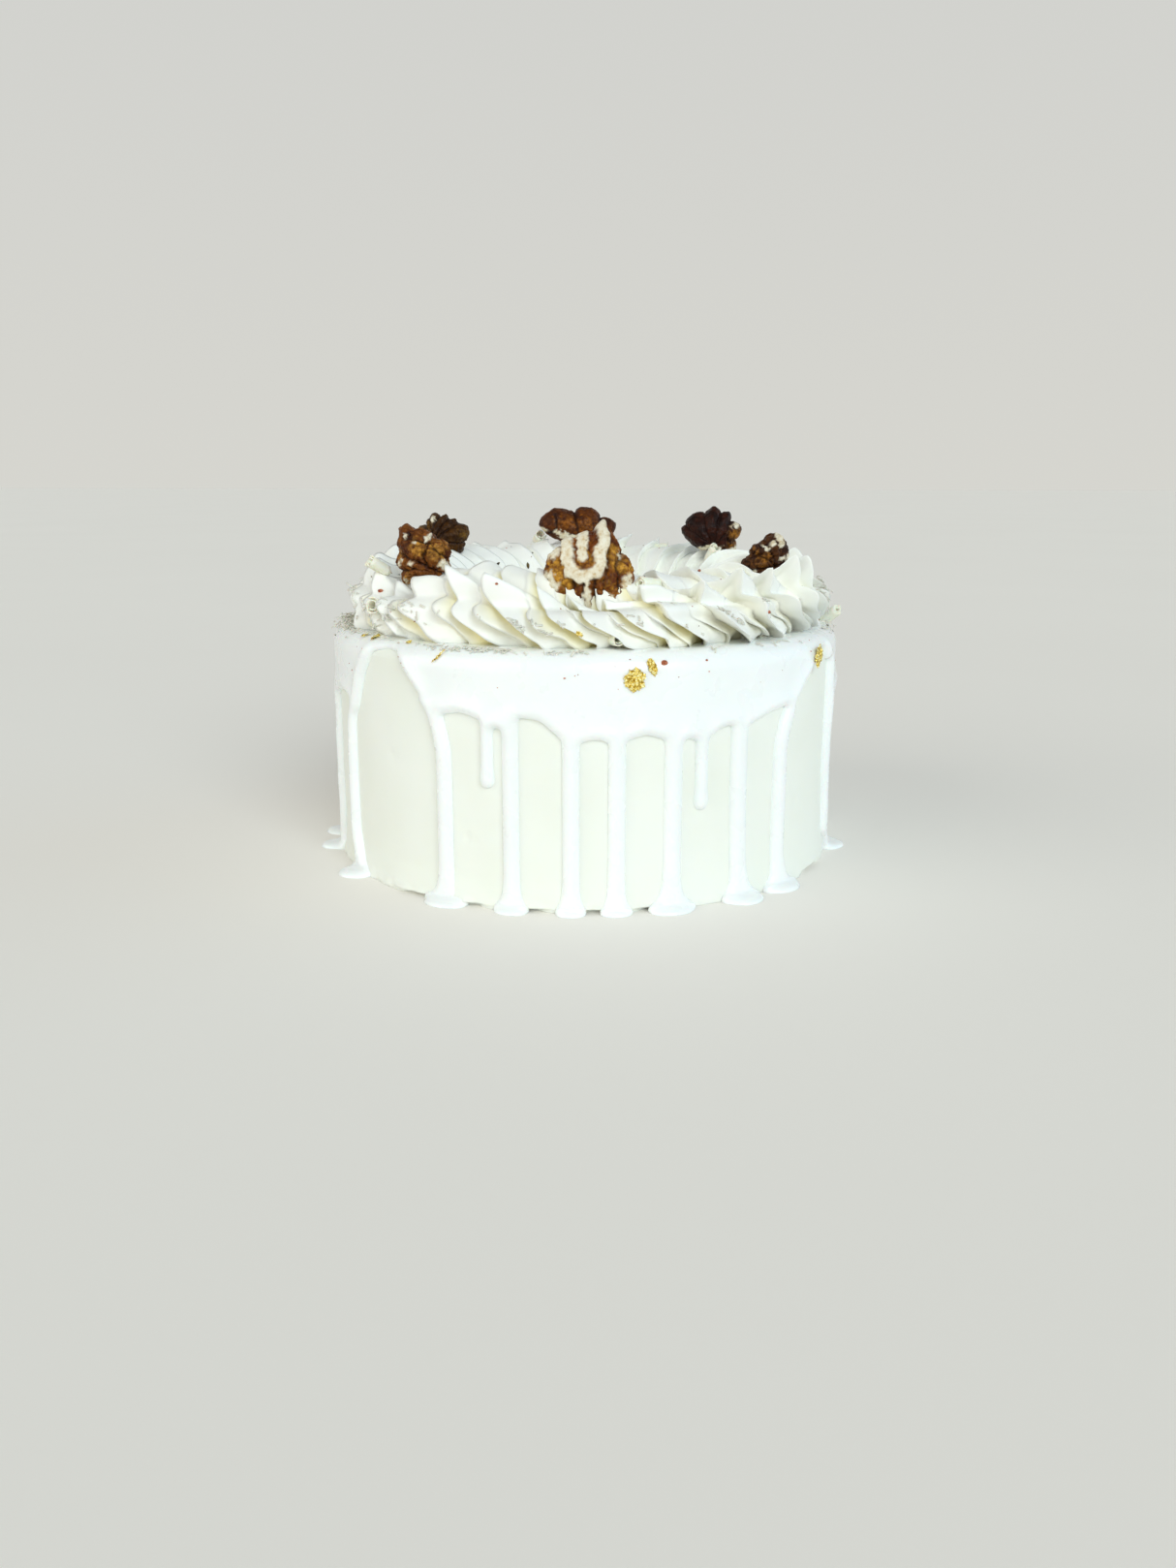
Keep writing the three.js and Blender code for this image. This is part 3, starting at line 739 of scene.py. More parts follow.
def rim_points(outline, inset):
    """Points in an even line along the outline, a little inside it."""
    ahead = np.roll(outline, -1, axis=0) - np.roll(outline, 1, axis=0)
    ahead[:, 0] = (ahead[:, 0] + WHOLE_TURN / 2) % WHOLE_TURN - WHOLE_TURN / 2
    ahead /= np.linalg.norm(ahead, axis=1)[:, None]
    points = outline + inset * np.stack([-ahead[:, 1], ahead[:, 0]], axis=1)
    return points[edge_distance(points, outline) > 0.85 * inset]


def glaze_border(outline, top_x):
    """The flat sheet's border: its lower edge, one seam, its upper edge and the other seam."""
    left, level = outline[0]
    right = left + WHOLE_TURN
    seam = np.linspace(level, SHEET_TOP, SEAM_POINTS)[1:]
    border = [tuple(p) for p in outline] + [(right, level)]
    border += [(right, z) for z in seam]
    border += [(x, SHEET_TOP) for x in top_x[::-1][1:]]
    border += [(left, z) for z in seam[::-1][1:]]
    return np.array(border)


def glaze_filling(outline):
    """Points inside the sheet: lines along its edge, then a fine grid and a coarse one."""
    left = outline[0, 0]
    right = left + WHOLE_TURN
    lots = [(np.concatenate([rim_points(outline, inset) for inset in RIM_INSETS]), 0, 2)]
    for seed, (spacing, low, near, far) in enumerate(GRIDS, 1):
        lots.append((hexagonal(spacing, low, SHEET_TOP, left, right, seed), near, far))
    picked = []
    for points, near, far in lots:
        points = points[inside_outline(points, outline)]
        distance = edge_distance(points, outline)
        keep = (distance > near) & (distance < far)
        keep &= points[:, 1] < SHEET_TOP - 1.2
        keep &= (points[:, 0] > left + 0.6) & (points[:, 0] < right - 0.6)
        picked.append(points[keep])
    return np.concatenate(picked)


def glaze_sheet(outline, border):
    """The sheet laid flat, as (along, run) points and triangles."""
    edges = [(i, (i + 1) % len(border)) for i in range(len(border))]
    points = [Vector(p) for p in np.concatenate([border, glaze_filling(outline)])]
    corners, _, triangles, *_ = delaunay_2d_cdt(points, edges, [], 0, 1e-6, False)
    flat = np.array([(v.x, v.y) for v in corners])
    triangles = np.array(triangles)
    centres = flat[triangles].mean(axis=1)
    return flat, triangles[inside_outline(centres, outline) & (centres[:, 1] < SHEET_TOP)]


def glaze_side(flat, outline):
    """The sheet's front and back, on the cake."""
    azimuth, run = flat[:, 0] / PER_DEGREE, flat[:, 1]
    distance = edge_distance(flat, outline)
    ground = around(azimuth, BODY_RADIUS, run)
    wave = noise_at(ground, 26, 5) * 0.22 + noise_at(ground, 9, 6) * 0.09
    depth = glaze_depth(distance, run) * (1 + wave * smooth_step(distance, 0, 2))
    return [glaze_points(azimuth, run, depth), glaze_back(azimuth, run)]


def glaze_top(top_x):
    """The front and back of the top within the sheet, as rings of points."""
    azimuth, run = np.meshgrid(top_x[:-1] / PER_DEGREE, TOP_RUNS)
    ground = around(azimuth, BODY_RADIUS - run, BODY_HEIGHT).reshape(-1, 3)
    wave = (noise_at(ground, 26, 5) * 0.25).reshape(run.shape)
    fade = np.interp(run, [SHEET_TOP, TOP_RUNS[-1]], [1, 0.3])
    front = glaze_points(azimuth, run, GLAZE_TOP * (1 + wave * fade))
    return [front.reshape(-1, 3), glaze_back(azimuth, run).reshape(-1, 3)]


def top_faces(upper_edge, total):
    """The faces of the top, inwards from the sheet's upper edge, in front and then behind."""
    faces = []
    for side in (0, 1):
        rings = [[i + side * total for i in upper_edge]]
        for ring in range(len(TOP_RUNS)):
            start = 2 * total + (side * len(TOP_RUNS) + ring) * TOP_COLUMNS
            rings.append([start + column % TOP_COLUMNS for column in range(TOP_COLUMNS + 1)])
        made = [
            (outer[i], outer[i + 1], inner[i + 1], inner[i])
            for outer, inner in zip(rings, rings[1:])
            for i in range(TOP_COLUMNS)
        ]
        made.append(tuple(rings[-1][:-1]))
        faces += made if side == 0 else [face[::-1] for face in made]
    return faces


def make_glaze(material):
    outline = glaze_outline()
    left = outline[0, 0]
    top_x = np.linspace(left, left + WHOLE_TURN, TOP_COLUMNS + 1)
    flat, triangles = glaze_sheet(outline, glaze_border(outline, top_x))
    total = len(flat)
    faces = [tuple(t) for t in triangles]
    faces += [(c + total, b + total, a + total) for a, b, c in triangles]
    faces += [(i + 1, i, i + total, i + 1 + total) for i in range(len(outline))]
    upper_edge = [int(np.argmin(np.hypot(flat[:, 0] - x, flat[:, 1] - SHEET_TOP))) for x in top_x]
    faces += top_faces(upper_edge, total)
    points = np.concatenate(glaze_side(flat, outline) + glaze_top(top_x))
    made = new_object("drip_glaze_skin", points, faces)
    weld(made, 0.004)
    return finished(made, material, ["drip_glaze"])


def weld(made, distance_mm):
    """Merges points that coincide and turns every face outwards."""
    bm = bmesh.new()
    bm.from_mesh(made.data)
    bmesh.ops.remove_doubles(bm, verts=bm.verts, dist=distance_mm * MM)
    bmesh.ops.recalc_face_normals(bm, faces=bm.faces)
    bm.to_mesh(made.data)
    bm.free()
    made.data.update()
    made.data.shade_smooth()


# ---- The piped ring ----
# The ring is a strand of thick fins that lie over each other. Each fin starts in the crease
# under its free edge, comes out to that edge, and then runs as a hollow face to the next
# crease. The free edges' azimuths on the crest are given in front and even behind.
FRONT_FINS = [-77, -66.5, -57, -46.7, -33, -22.4, -12.6, -4.5, 3.1, 11.6, 23.2, 34.8, 47, 59, 71]
BACK_FINS = 20
CUPPED = (8, 66)  # the azimuths between which the fins' tops are hollow
OVERHANG = 1.7
TURN_END = 130.0  # how far round the strand's section the surface goes each way, in degrees
MID_RADIUS = 86  # the radius at which a shift along the ring is measured
SECTION_RADIUS = 20  # and that of a shift round the section
# Where the ring dips in front of a walnut: azimuth and its half width, turn and its half
# width, depth.
DIPS = [(1, 11, 42, 30, 16), (-54, 10, 34, 26, 9)]
# The rims of a fin's two free edges, as (overhang, depth), from the crease outwards.
FIRST_EDGE = [(-0.6, 1), (0.3, 0.72), (1.0, 0.42), (1.45, 0.2), (1.68, 0.07), (OVERHANG, 0)]
SECOND_EDGE = [(-0.4, 0.24), (0.2, 0.12), (0.8, -0.08), (1.3, -0.36), (1.5, -0.55)]
MIDDLE = 0.5  # the share of the pitch at which the second edge stands
RING_FOOT = TOP_LEVEL - 0.4  # how low the ring reaches, a little into the glaze


def fin_azimuths():
    start, stop = FRONT_FINS[-1], FRONT_FINS[0] + 360
    pitch = (stop - start) / BACK_FINS
    behind = [start + pitch * (i + 0.35 * (draw(i + 0.5) - 0.5)) for i in range(1, BACK_FINS)]
    return np.array(FRONT_FINS + behind)


def fin_shift(azimuth, turn):
    """How far a fin has run along the ring at a turn round the section, in degrees."""
    front = 0.5 * (1 + np.cos(np.radians(azimuth - 20)))
    rounding = 1 - np.cos(np.radians(turn))
    outer = 3.5 * rounding + 3 * turn / 90 + (2 + 5 * front) * smooth_step(turn, 80, 118)
    inner = -(5.5 - 4.5 * np.sin(np.radians(azimuth))) * rounding
    return np.where(turn > 0, outer, inner)


def crest_rise(azimuth):
    azimuth = wrapped(azimuth)
    rise = 1.9 * (1 - np.cos(np.radians(azimuth)))
    return rise + 2 * bell(azimuth + 36, 9) - 2.5 * bell(azimuth + 66, 18)


def strand_point(azimuth, turn, relief, overhang):
    """A point of the ring. The azimuth is where its fin crosses the crest, and the overhang
    is how far the point lies to the left of its fin, square to it."""
    step = 0.5
    run = (fin_shift(azimuth, turn + step) - fin_shift(azimuth, turn - step)) / (2 * step)
    run = run * TAU * MID_RADIUS / 360
    fall = TAU * SECTION_RADIUS / 360
    length = np.hypot(run, fall)
    back = -overhang * fall / length
    turn = turn + overhang * run / length / fall
    there = azimuth + fin_shift(azimuth, turn) + back * 360 / (TAU * MID_RADIUS)
    dip = 0
    for centre, spread, middle, reach, depth in DIPS:
        dip = dip + depth * bell(wrapped(there - centre), spread) * bell(turn - middle, reach)
    u, t = np.radians(azimuth), np.radians(turn)
    reach = LOOP_REACH + 0.9 * np.sin(5 * u + 1) + 0.6 * np.sin(13 * u)
    rise = LOOP_RISE + 0.8 * np.sin(4 * u + 2) + 0.5 * np.sin(11 * u + 1) + crest_rise(azimuth)
    out = reach + STRAND_RADIUS + relief - dip
    up = rise + STRAND_RADIUS + relief - dip
    radius = RING_RADIUS + 1.5 * np.cos(np.radians(there - 45)) + out * np.sin(t)
    z = TOP_LEVEL + STRAND_HEIGHT + up * np.cos(t)
    return around(there, radius, np.maximum(z, RING_FOOT))


def face_depth(u):
    """How deep the face lies at a share of the pitch, as a share of the fin's strength."""
    return 1 - (1 - u) ** 1.7


def edge_weight(u):
    """How much the free edge's form still tells there."""
    return (1 - u) ** 2.2


def fin_section(split):
    """Points across a fin: share of the pitch, overhang, depth, weight of the free edge, shade
    and weight of the second edge. split says for each turn how far that one stands out."""
    level = 0 * split
    rows = []
    for overhang, depth in FIRST_EDGE:
        rows.append((0, level + overhang, level + depth, 1 - depth, level + depth, 0))
    for u in np.linspace(0, MIDDLE, 11)[1:-1]:
        overhang = level + OVERHANG * (1 - u) ** 3 - 0.6 * u
        shade = split * smooth_step(u, MIDDLE - 0.2, MIDDLE)
        rows.append((u, overhang, level + face_depth(u), edge_weight(u), shade, 0))
    for overhang, depth in SECOND_EDGE:
        standing = face_depth(MIDDLE) + depth * split
        shade = split * (0.55 + depth) / 0.8
        lower = (0.24 - depth) / 0.79
        rows.append((MIDDLE, overhang * split, standing, edge_weight(MIDDLE), shade, lower))
    for u in np.linspace(MIDDLE, 1, 11)[1:-1]:
        left = ((1 - u) / (1 - MIDDLE)) ** 1.7
        overhang = 1.5 * split * left - 0.6 * u
        depth = face_depth(u) - 0.55 * split * left
        shade = level + 1.2 * smooth_step(u, 0.4, 1)
        rows.append((u, overhang, depth, edge_weight(u), shade, left))
    return [np.array([np.broadcast_to(v, split.shape) for v in column]) for column in zip(*rows)]


def ring_turns():
    """The turns round the section at which the ring has rows, closest where it shows."""
    spans = [(-TURN_END, -100, 3), (-100, 0, 23), (0, 114, 46), (114, TURN_END, 4)]
    return np.concatenate(
        [np.linspace(low, high, count, endpoint=high == TURN_END) for low, high, count in spans]
    )


class Fin:
    """One fin of the ring, at every turn round the strand's section.

    Its petals lie in two tiers, with a waist between them.
    """

    def __init__(self, number, azimuth, pitch, turn):
        self.azimuth, self.pitch, self.turn = azimuth, pitch, turn
        self.chance = [draw(number + s) for s in (0.15, 0.35, 0.55, 0.75, 0.95)]
        self.facing = bell(wrapped(azimuth) - 5, 95)
        self.cupped = CUPPED[0] < wrapped(azimuth) < CUPPED[1]
        self.fork = 50 + 26 * self.chance[4]
        self.tip_turn = 12 + 12 * self.chance[0] + self.facing * (30 if self.cupped else 24)
        self.waist = 60 + 14 * (self.chance[0] - 0.5)
        self.gap = bell(turn - self.waist, 7)
        self.foot = smooth_step(turn, 88, 106)

    def split(self):
        """How far the second edge stands out of the face."""
        forked = self.chance[1] > 0.55 and not self.cupped
        split = smooth_step(self.turn, self.fork, self.fork + 14) * (0.9 if forked else 0)
        return np.maximum(split, 0.5 * smooth_step(self.turn, 88, 98))

    def strength(self):
        """How far the face falls from the free edge to the crease."""
        turn, chance = self.turn, self.chance
        strength = 3.6 + 2.4 * smooth_step(turn, 0, 20) * (1 - smooth_step(turn, 84, 112))
        strength = strength * (0.75 + 0.5 * chance[2]) * np.interp(self.pitch, [6, 14], [0.8, 1.15])
        strength = strength + (1.5 + 3 * chance[4]) * self.foot * self.facing
        return strength * (1 - 0.45 * self.gap)

    def tip(self):
        """How far the upper petal's tip stands out."""
        tip = (3.2 + 1.6 * self.chance[1] - 1.2 * self.cupped) * (0.5 + 0.5 * self.facing)
        width = np.where(self.turn > self.tip_turn, 16 + 8 * self.cupped, 8)
        return tip * bell(self.turn - self.tip_turn, width)

    def lower_tip(self):
        """The same for the second edge's tip."""
        middle = self.fork + 18 + 14 * self.chance[3]
        width = np.where(self.turn > middle, 14, 9)
        return (2.2 + 2.4 * self.chance[0]) * bell(self.turn - middle, width)

    def tiers(self):
        """How far the two tiers bulge and the waist lies back."""
        bulge = 2.2 + 1.4 * self.cupped
        upper = bulge * bell(self.turn - self.waist + 22, 14)
        lower = bulge * bell(self.turn - self.waist - 18, 11)
        return upper + lower - (2.8 + 1.4 * self.cupped) * self.gap

    def surface(self):
        """The fin's azimuths, turns, relief, overhang and shade, over its columns and turns."""
        turn, chance, facing, cupped = self.turn, self.chance, self.facing, self.cupped
        share, overhang, deep, edge, shade, lower = fin_section(self.split())
        tip = self.tip()
        second_tip = (2.4 + 1.8 * chance[3]) * bell(turn - self.waist - 20, 11)
        tongue = (1.5 + 4.5 * chance[3]) * bell(turn - 104 + 8 * chance[1], 9)
        relief = -self.strength() * deep + (tip + facing * second_tip) * edge
        relief = relief + self.lower_tip() * lower + facing * self.tiers()
        relief = relief + facing * tongue * (1 - share) * edge**0.5
        # The rim along the top of the face, and the hollow behind it.
        rim = self.tip_turn + (8 + 12 * chance[2]) * share**1.3
        behind = (1 - smooth_step(turn, rim - 6, rim)) * smooth_step(turn, -20, rim - 22)
        curled = (1.4 + 1.4 * cupped) * facing * bell(turn - rim, 6) * np.sqrt(1 - share)
        relief = relief - (4.6 + 2.2 * cupped) * facing * behind + curled
        waver = (0.9 * np.sin(turn / 11 + 6 * chance[3]) + 0.5 * tip) * edge
        # Painted shade: in the hollow behind the rim and towards the ring's foot, less on cupped
        # fins, and stronger on the left side than on the right.
        shade = np.maximum(shade, 0.12 * facing * behind) * (0.35 if cupped else 1)
        shade = shade + 0.7 * self.foot * facing * share
        shade = shade * (0.6 + 0.55 * np.cos(np.radians(self.azimuth + 65)))
        columns = np.broadcast_arrays(self.azimuth + share * self.pitch, turn[None])
        return (*columns, relief, overhang + waver, shade)


def make_ring(material):
    fins = fin_azimuths()
    pitches = np.diff(np.append(fins, fins[0] + 360))
    turns = ring_turns()
    parts = [Fin(i, *fin, turns).surface() for i, fin in enumerate(zip(fins, pitches))]
    azimuth, turn, relief, overhang, shade = (np.concatenate(part) for part in zip(*parts))
    base = strand_point(azimuth, turn, 0 * relief, 0 * relief).reshape(-1, 3)
    soft = noise_at(base, 11, 7) * 0.9 + noise_at(base, 3.2, 8) * 0.2
    rag = 1.8 + 3.6 * noise_at(base, 8, 9).reshape(relief.shape)
    relief = relief + soft.reshape(relief.shape) + rag * smooth_step(turn, 90, 110)
    bend = 2.4 * noise_at(base, 15, 10, 2).reshape(relief.shape)
    points = strand_point(azimuth + bend, turn, relief, overhang)
    points[:, [0, -1], 2] = RING_FOOT
    faces = grid_faces(len(azimuth), len(turns), True)
    made = new_object("piped_loops", points.reshape(-1, 3), faces)
    # The painted shade goes on the mesh as the crease attribute.
    set_attribute(made, "crease", shade.reshape(-1))
    made.data.flip_normals()
    return finished(made, material, ["piped_ring"])


# ---- Walnut halves ----
# A kernel lies in its own plane, x to the right, z up and -y towards the front. Its outline
# is a list of (angle, radius), its creases are lines and its spots (x, z, size), all as
# shares of its half width and half height. Its tones are its skin, amber and darkest parts.
WALNUTS = [
    dict(
        name="walnut_front", azimuth=1, radius=71, z=121.5, size=(33, 16, 34), turn=(-8, 0, 0),
        domed=1, seed=1, fold=1.0, wrinkling=0.7,
        tones=((150, 88, 26), (216, 158, 56), (90, 40, 10)),
        outline=[
            (9, 0.92), (28, 0.84), (57, 0.88), (73, 1.02), (84, 0.74), (113, 0.68), (141, 0.8),
            (163, 0.92), (190, 1), (211, 1.02), (232, 0.88), (270, 0.92), (318, 1.12), (340, 1.04),
        ],
        creases=[
            [(-0.62, 0.5), (-0.5, 0), (-0.35, -0.4), (-0.4, -0.9)],
            [(-0.1, -0.3), (-0.12, -0.95)], [(0.12, -0.3), (0.12, -0.95)],
            [(0.45, 0.5), (0.4, 0), (0.3, -0.35), (0.4, -0.8)],
            [(0.8, 0.35), (0.6, 0), (0.7, -0.5)],
        ],
        pale=[
            (-0.82, 0.26, 0.13), (-0.72, 0.4, 0.1), (-0.9, -0.22, 0.11), (-0.78, -0.42, 0.14),
            (0.86, -0.28, 0.1), (0.85, -0.45, 0.12), (0.45, -0.76, 0.14), (0.74, 0.28, 0.06),
        ],
        amber=[
            (-0.65, 0, 0.28), (-0.55, -0.3, 0.2), (0.55, 0.25, 0.2), (0.75, 0, 0.18),
            (-0.27, 0, 0.1), (0.1, 0.08, 0.1), (0.45, -0.4, 0.1), (0.85, -0.75, 0.12),
        ],
    ),
    dict(
        name="walnut_front_right", azimuth=66.5, radius=77, z=122, size=(21, 14, 20),
        turn=(-4, 0, 22), domed=-1, seed=2, fold=1.5, wrinkling=0.8,
        tones=((96, 56, 20), (158, 104, 40), (48, 22, 8)),
        outline=[
            (11, 0.95), (39, 1.05), (57, 1.12), (70, 1.06), (90, 0.84), (120, 0.71), (160, 0.72),
            (204, 1.09), (226, 0.97), (261, 1.01), (288, 0.8), (313, 0.96), (350, 1),
        ],
        creases=[
            [(-0.76, -0.49), (0, -0.36), (0.86, -0.15)], [(-0.11, 0.66), (0.05, 0), (0.1, -0.3)],
            [(0.45, 0.53), (0.29, -0.06)], [(-0.6, 0.19), (-0.03, -0.15)],
            [(0.3, -0.9), (0.4, -0.4)],
        ],
        pale=[
            (-0.19, 0.49, 0.14), (0.11, 0.62, 0.1), (0.49, 0.83, 0.2), (0.53, 0.57, 0.12),
            (0.77, 0.02, 0.16), (0.45, 0.02, 0.1), (-0.68, -0.57, 0.08), (0.53, -0.49, 0.13),
        ],
        amber=[(-0.3, 0.1, 0.25), (0, -0.8, 0.25), (-0.5, -0.2, 0.15)],
    ),
    dict(
        name="walnut_back_right", azimuth=122, radius=66, z=130, size=(27, 15, 23),
        turn=(10, 0, -8), domed=-1, seed=3, fold=0.8, wrinkling=0.15,
        tones=((62, 24, 8), (176, 116, 40), (24, 6, 3)),
        outline=[
            (12, 1.0), (34, 0.86), (52, 0.98), (67, 0.9), (82, 1), (100, 0.87), (136, 0.9),
            (172, 1), (207, 0.8), (232, 0.76), (264, 0.72), (300, 0.86), (316, 1.12), (337, 0.94),
        ],
        creases=[
            [(0.13, -0.44), (0.25, 0.3), (0.36, 0.9)], [(0.13, -0.44), (0.5, 0), (0.72, 0.5)],
            [(0.67, 0.49), (0.62, 0), (0.6, -0.75)], [(0.1, -0.4), (-0.2, 0.3), (-0.25, 0.85)],
            [(0.1, -0.4), (-0.9, 0.3)], [(0.6, -0.35), (1, -0.3)],
        ],
        pale=[
            (-0.3, -0.6, 0.1), (-0.12, -0.52, 0.1), (0.08, -0.5, 0.1), (0.3, -0.56, 0.1),
            (0.84, 0.31, 0.1), (0.77, -0.67, 0.14),
        ],
        amber=[(0.85, 0, 0.2), (0.78, -0.6, 0.25)],
    ),
    dict(
        name="walnut_back", azimuth=182.5, radius=66, z=130, size=(38, 16, 23),
        turn=(12, 0, 3), domed=-1, seed=4, fold=0.5, wrinkling=0.2,
        tones=((104, 54, 14), (150, 88, 22), (58, 24, 6)),
        outline=[
            (14, 0.94), (31, 0.87), (42, 0.76), (68, 0.9), (89, 0.9), (99, 0.76), (113, 0.86),
            (125, 1.06), (150, 1.03), (169, 1), (190, 0.86), (220, 0.66), (270, 0.62), (330, 0.8),
        ],
        creases=[
            [(-0.12, 0.8), (-0.08, 0.3), (0, -0.1)], [(0.57, 0.55), (0.4, 0.1), (0.5, -0.4)],
            [(-0.62, 0.7), (-0.55, 0.2), (-0.75, -0.1)],
        ],
        pale=[
            (-0.55, 0.02, 0.1), (-0.42, -0.08, 0.11), (-0.27, -0.16, 0.11), (-0.1, -0.2, 0.11),
            (0.08, -0.12, 0.12), (-0.9, 0.02, 0.1),
        ],
        amber=[(-0.3, 0.4, 0.25), (0.2, 0.38, 0.2), (0.15, 0, 0.2)],
    ),
    dict(
        name="walnut_back_left", azimuth=246.5, radius=68, z=129, size=(24, 14, 24),
        turn=(8, 0, -14), domed=-1, seed=5, fold=0.8, wrinkling=0.3,
        tones=((82, 50, 12), (136, 98, 34), (44, 22, 4)),
        outline=[
            (3, 1), (18, 1), (30, 0.82), (48, 0.76), (60, 0.7), (78, 0.76), (94, 0.71), (110, 0.85),
            (124, 0.84), (150, 0.72), (160, 0.92), (176, 1), (225, 0.85), (270, 0.9), (335, 0.95),
        ],
        creases=[
            [(-0.16, -0.15), (-0.64, 0.35)], [(-0.16, -0.15), (-0.2, 0.3), (-0.05, 0.72)],
            [(-0.16, -0.15), (0.3, 0.65)], [(-0.16, -0.15), (0.62, 0.42)],
            [(-0.16, -0.15), (0.95, -0.3)], [(-0.2, 0.2), (-0.45, 0.65)],
        ],
        pale=[(-0.24, 0.62, 0.08), (-0.24, -0.08, 0.06), (-0.5, 0.1, 0.05)],
        amber=[(-0.75, 0.25, 0.16), (0.9, 0.05, 0.12), (-0.4, 0.45, 0.1)],
    ),
    dict(
        name="walnut_front_left", azimuth=301.9, radius=72.8, z=123.8, size=(23, 15, 25),
        turn=(-6, 0, -14), domed=-1, seed=6, fold=1.5, wrinkling=0.7,
        tones=((142, 84, 28), (204, 146, 60), (78, 36, 10)),
        outline=[
            (7, 0.92), (33, 0.78), (58, 0.66), (74, 0.7), (100, 0.8), (116, 0.9), (126, 1.2),
            (140, 1.24), (170, 1.02), (205, 1.12), (230, 1.16), (252, 0.8), (292, 0.78),
            (318, 0.94),
        ],
        creases=[
            [(-0.85, 0.5), (-0.3, 0.5), (0.35, 0.38)], [(-0.93, 0.05), (0, -0.3), (0.75, -0.63)],
            [(0.32, 0.41), (0.14, -0.08), (0.3, -0.4)], [(-0.6, 0.75), (-0.4, 0.5)],
            [(-0.95, -0.55), (-0.5, -0.55), (-0.3, -0.5)], [(0.5, 0.2), (0.9, -0.1)],
        ],
        pale=[
            (-0.68, 0.57, 0.08), (-0.21, 0.38, 0.07), (-0.8, -0.29, 0.1), (-0.34, -0.31, 0.08),
            (0.21, 0.57, 0.08), (0.75, -0.32, 0.14), (-0.65, -0.8, 0.07),
        ],
        amber=[(-0.1, 0.2, 0.25), (0.55, 0.1, 0.28), (-0.9, 0, 0.15), (-0.5, -0.85, 0.2)],
    ),
]
# The pale membrane on the front kernel's inner face: its line and half width.
MEMBRANE = [
    (-0.48, 0.55), (-0.48, 0.08), (-0.42, -0.12), (-0.2, -0.24), (0, -0.18), (0.16, -0.14),
    (0.25, 0.04), (0.22, 0.27), (0.32, 0.45), (0.31, 0.61), (0.23, 0.86),
]
MEMBRANE_HALF = 0.13
MEMBRANE_RISE = 0.9
MEMBRANE_TOOTH = [(-0.15, 0.66), (-0.16, 0.3), (-0.17, 0.16)]
MEMBRANE_STEM = [(-0.03, -0.24), (-0.04, -0.85)]


def sphere_points(level):
    bm = bmesh.new()
    bmesh.ops.create_icosphere(bm, subdivisions=level, radius=1.0)
    points = np.array([v.co for v in bm.verts])
    points /= np.linalg.norm(points, axis=1)[:, None]
    faces = [[v.index for v in f.verts] for f in bm.faces]
    bm.free()
    return points, faces


def kernel_shape(direction, row):
    """The kernel's main shape, as in its solid."""
    width, thickness, length = row["size"]
    x, y, z = direction.T
    angle = np.degrees(np.arctan2(z, x)) % 360
    angles, radii = zip(*row["outline"])
    outline = np.interp(angle, angles, radii, period=360)
    rounded = 0.6 * np.sqrt(np.clip(1 - 0.15 * (x * x + z * z), 0, 1))
    depth = np.where(y * row["domed"] > 0, rounded, 0.4)
    return np.stack(
        [x * 0.5 * width * outline, y * thickness * depth, z * 0.5 * length * outline], axis=1
    )


def line_distance(x, z, line):
    """How far each point is from a line through (x, z) points."""
    nearest = np.full(len(x), np.inf)
    for (x0, z0), (x1, z1) in zip(line, line[1:]):
        run, rise = x1 - x0, z1 - z0
        share = np.clip(((x - x0) * run + (z - z0) * rise) / (run * run + rise * rise), 0, 1)
        nearest = np.minimum(nearest, np.hypot(x - x0 - share * run, z - z0 - share * rise))
    return nearest


def band(distance, half, soft):
    return 1 - smooth_step(distance, half - soft, half + soft)


def spots(x, z, places, soft=0.04):
    total = np.zeros(len(x))
    for centre_x, centre_z, size in places:
        total += band(np.hypot(x - centre_x, z - centre_z), size, soft)
    return np.clip(total, 0, 1)


def membrane(x, z):
    edge = band(line_distance(x, z, MEMBRANE), MEMBRANE_HALF, 0.03)
    tooth = band(line_distance(x, z, MEMBRANE_TOOTH), 0.09 + 0.05 * z, 0.02)
    stem = band(line_distance(x, z, MEMBRANE_STEM), 0.07, 0.02)
    return np.clip(edge + tooth + stem, 0, 1)


def kernel_plane(base, row):
    """Each point's x and z as shares of the kernel's half size, a little warped, and the warp."""
    seed = row["seed"]
    warp, shake = noise_at(base, 4, seed + 0.4), noise_at(base, 2.2, seed + 0.9)
    x = base[:, 0] / (0.5 * row["size"][0]) + 0.05 * warp + 0.02 * shake
    z = base[:, 2] / (0.5 * row["size"][2]) + 0.05 * noise_at(base, 4, seed + 1.7)
    return x, z, warp


def kernel_folds(base, x, z, warp, row):
    """How far the folds stand out at each point, and how deep in a crease it lies, which sets the
    painted shade in the creases.
    """
    seed, wrinkling = row["seed"], row["wrinkling"]
    nearest = np.min([line_distance(x, z, line) for line in row["creases"]], axis=0)
    crease = bell(nearest, 0.035) * (0.6 + 0.4 * np.clip(1 + 2 * warp, 0, 1))
    swell = 1 - bell(nearest, 0.2)
    folded = base + 2.0 * np.stack([noise_at(base, 6, seed + k) for k in (0.1, 0.5, 0.7)], axis=1)
    fine_crease = bell(noise_at(folded, 2.8, seed + 3.1), 0.1) * wrinkling
    height = row["fold"] * (1.1 * swell - 0.9) - 0.8 * crease - fine_crease
    height = height + (0.15 + 0.6 * wrinkling) * noise_at(folded, 1.5, seed + 4, 2)
    return height, np.clip(crease + 0.7 * fine_crease, 0, 1) * 0.9


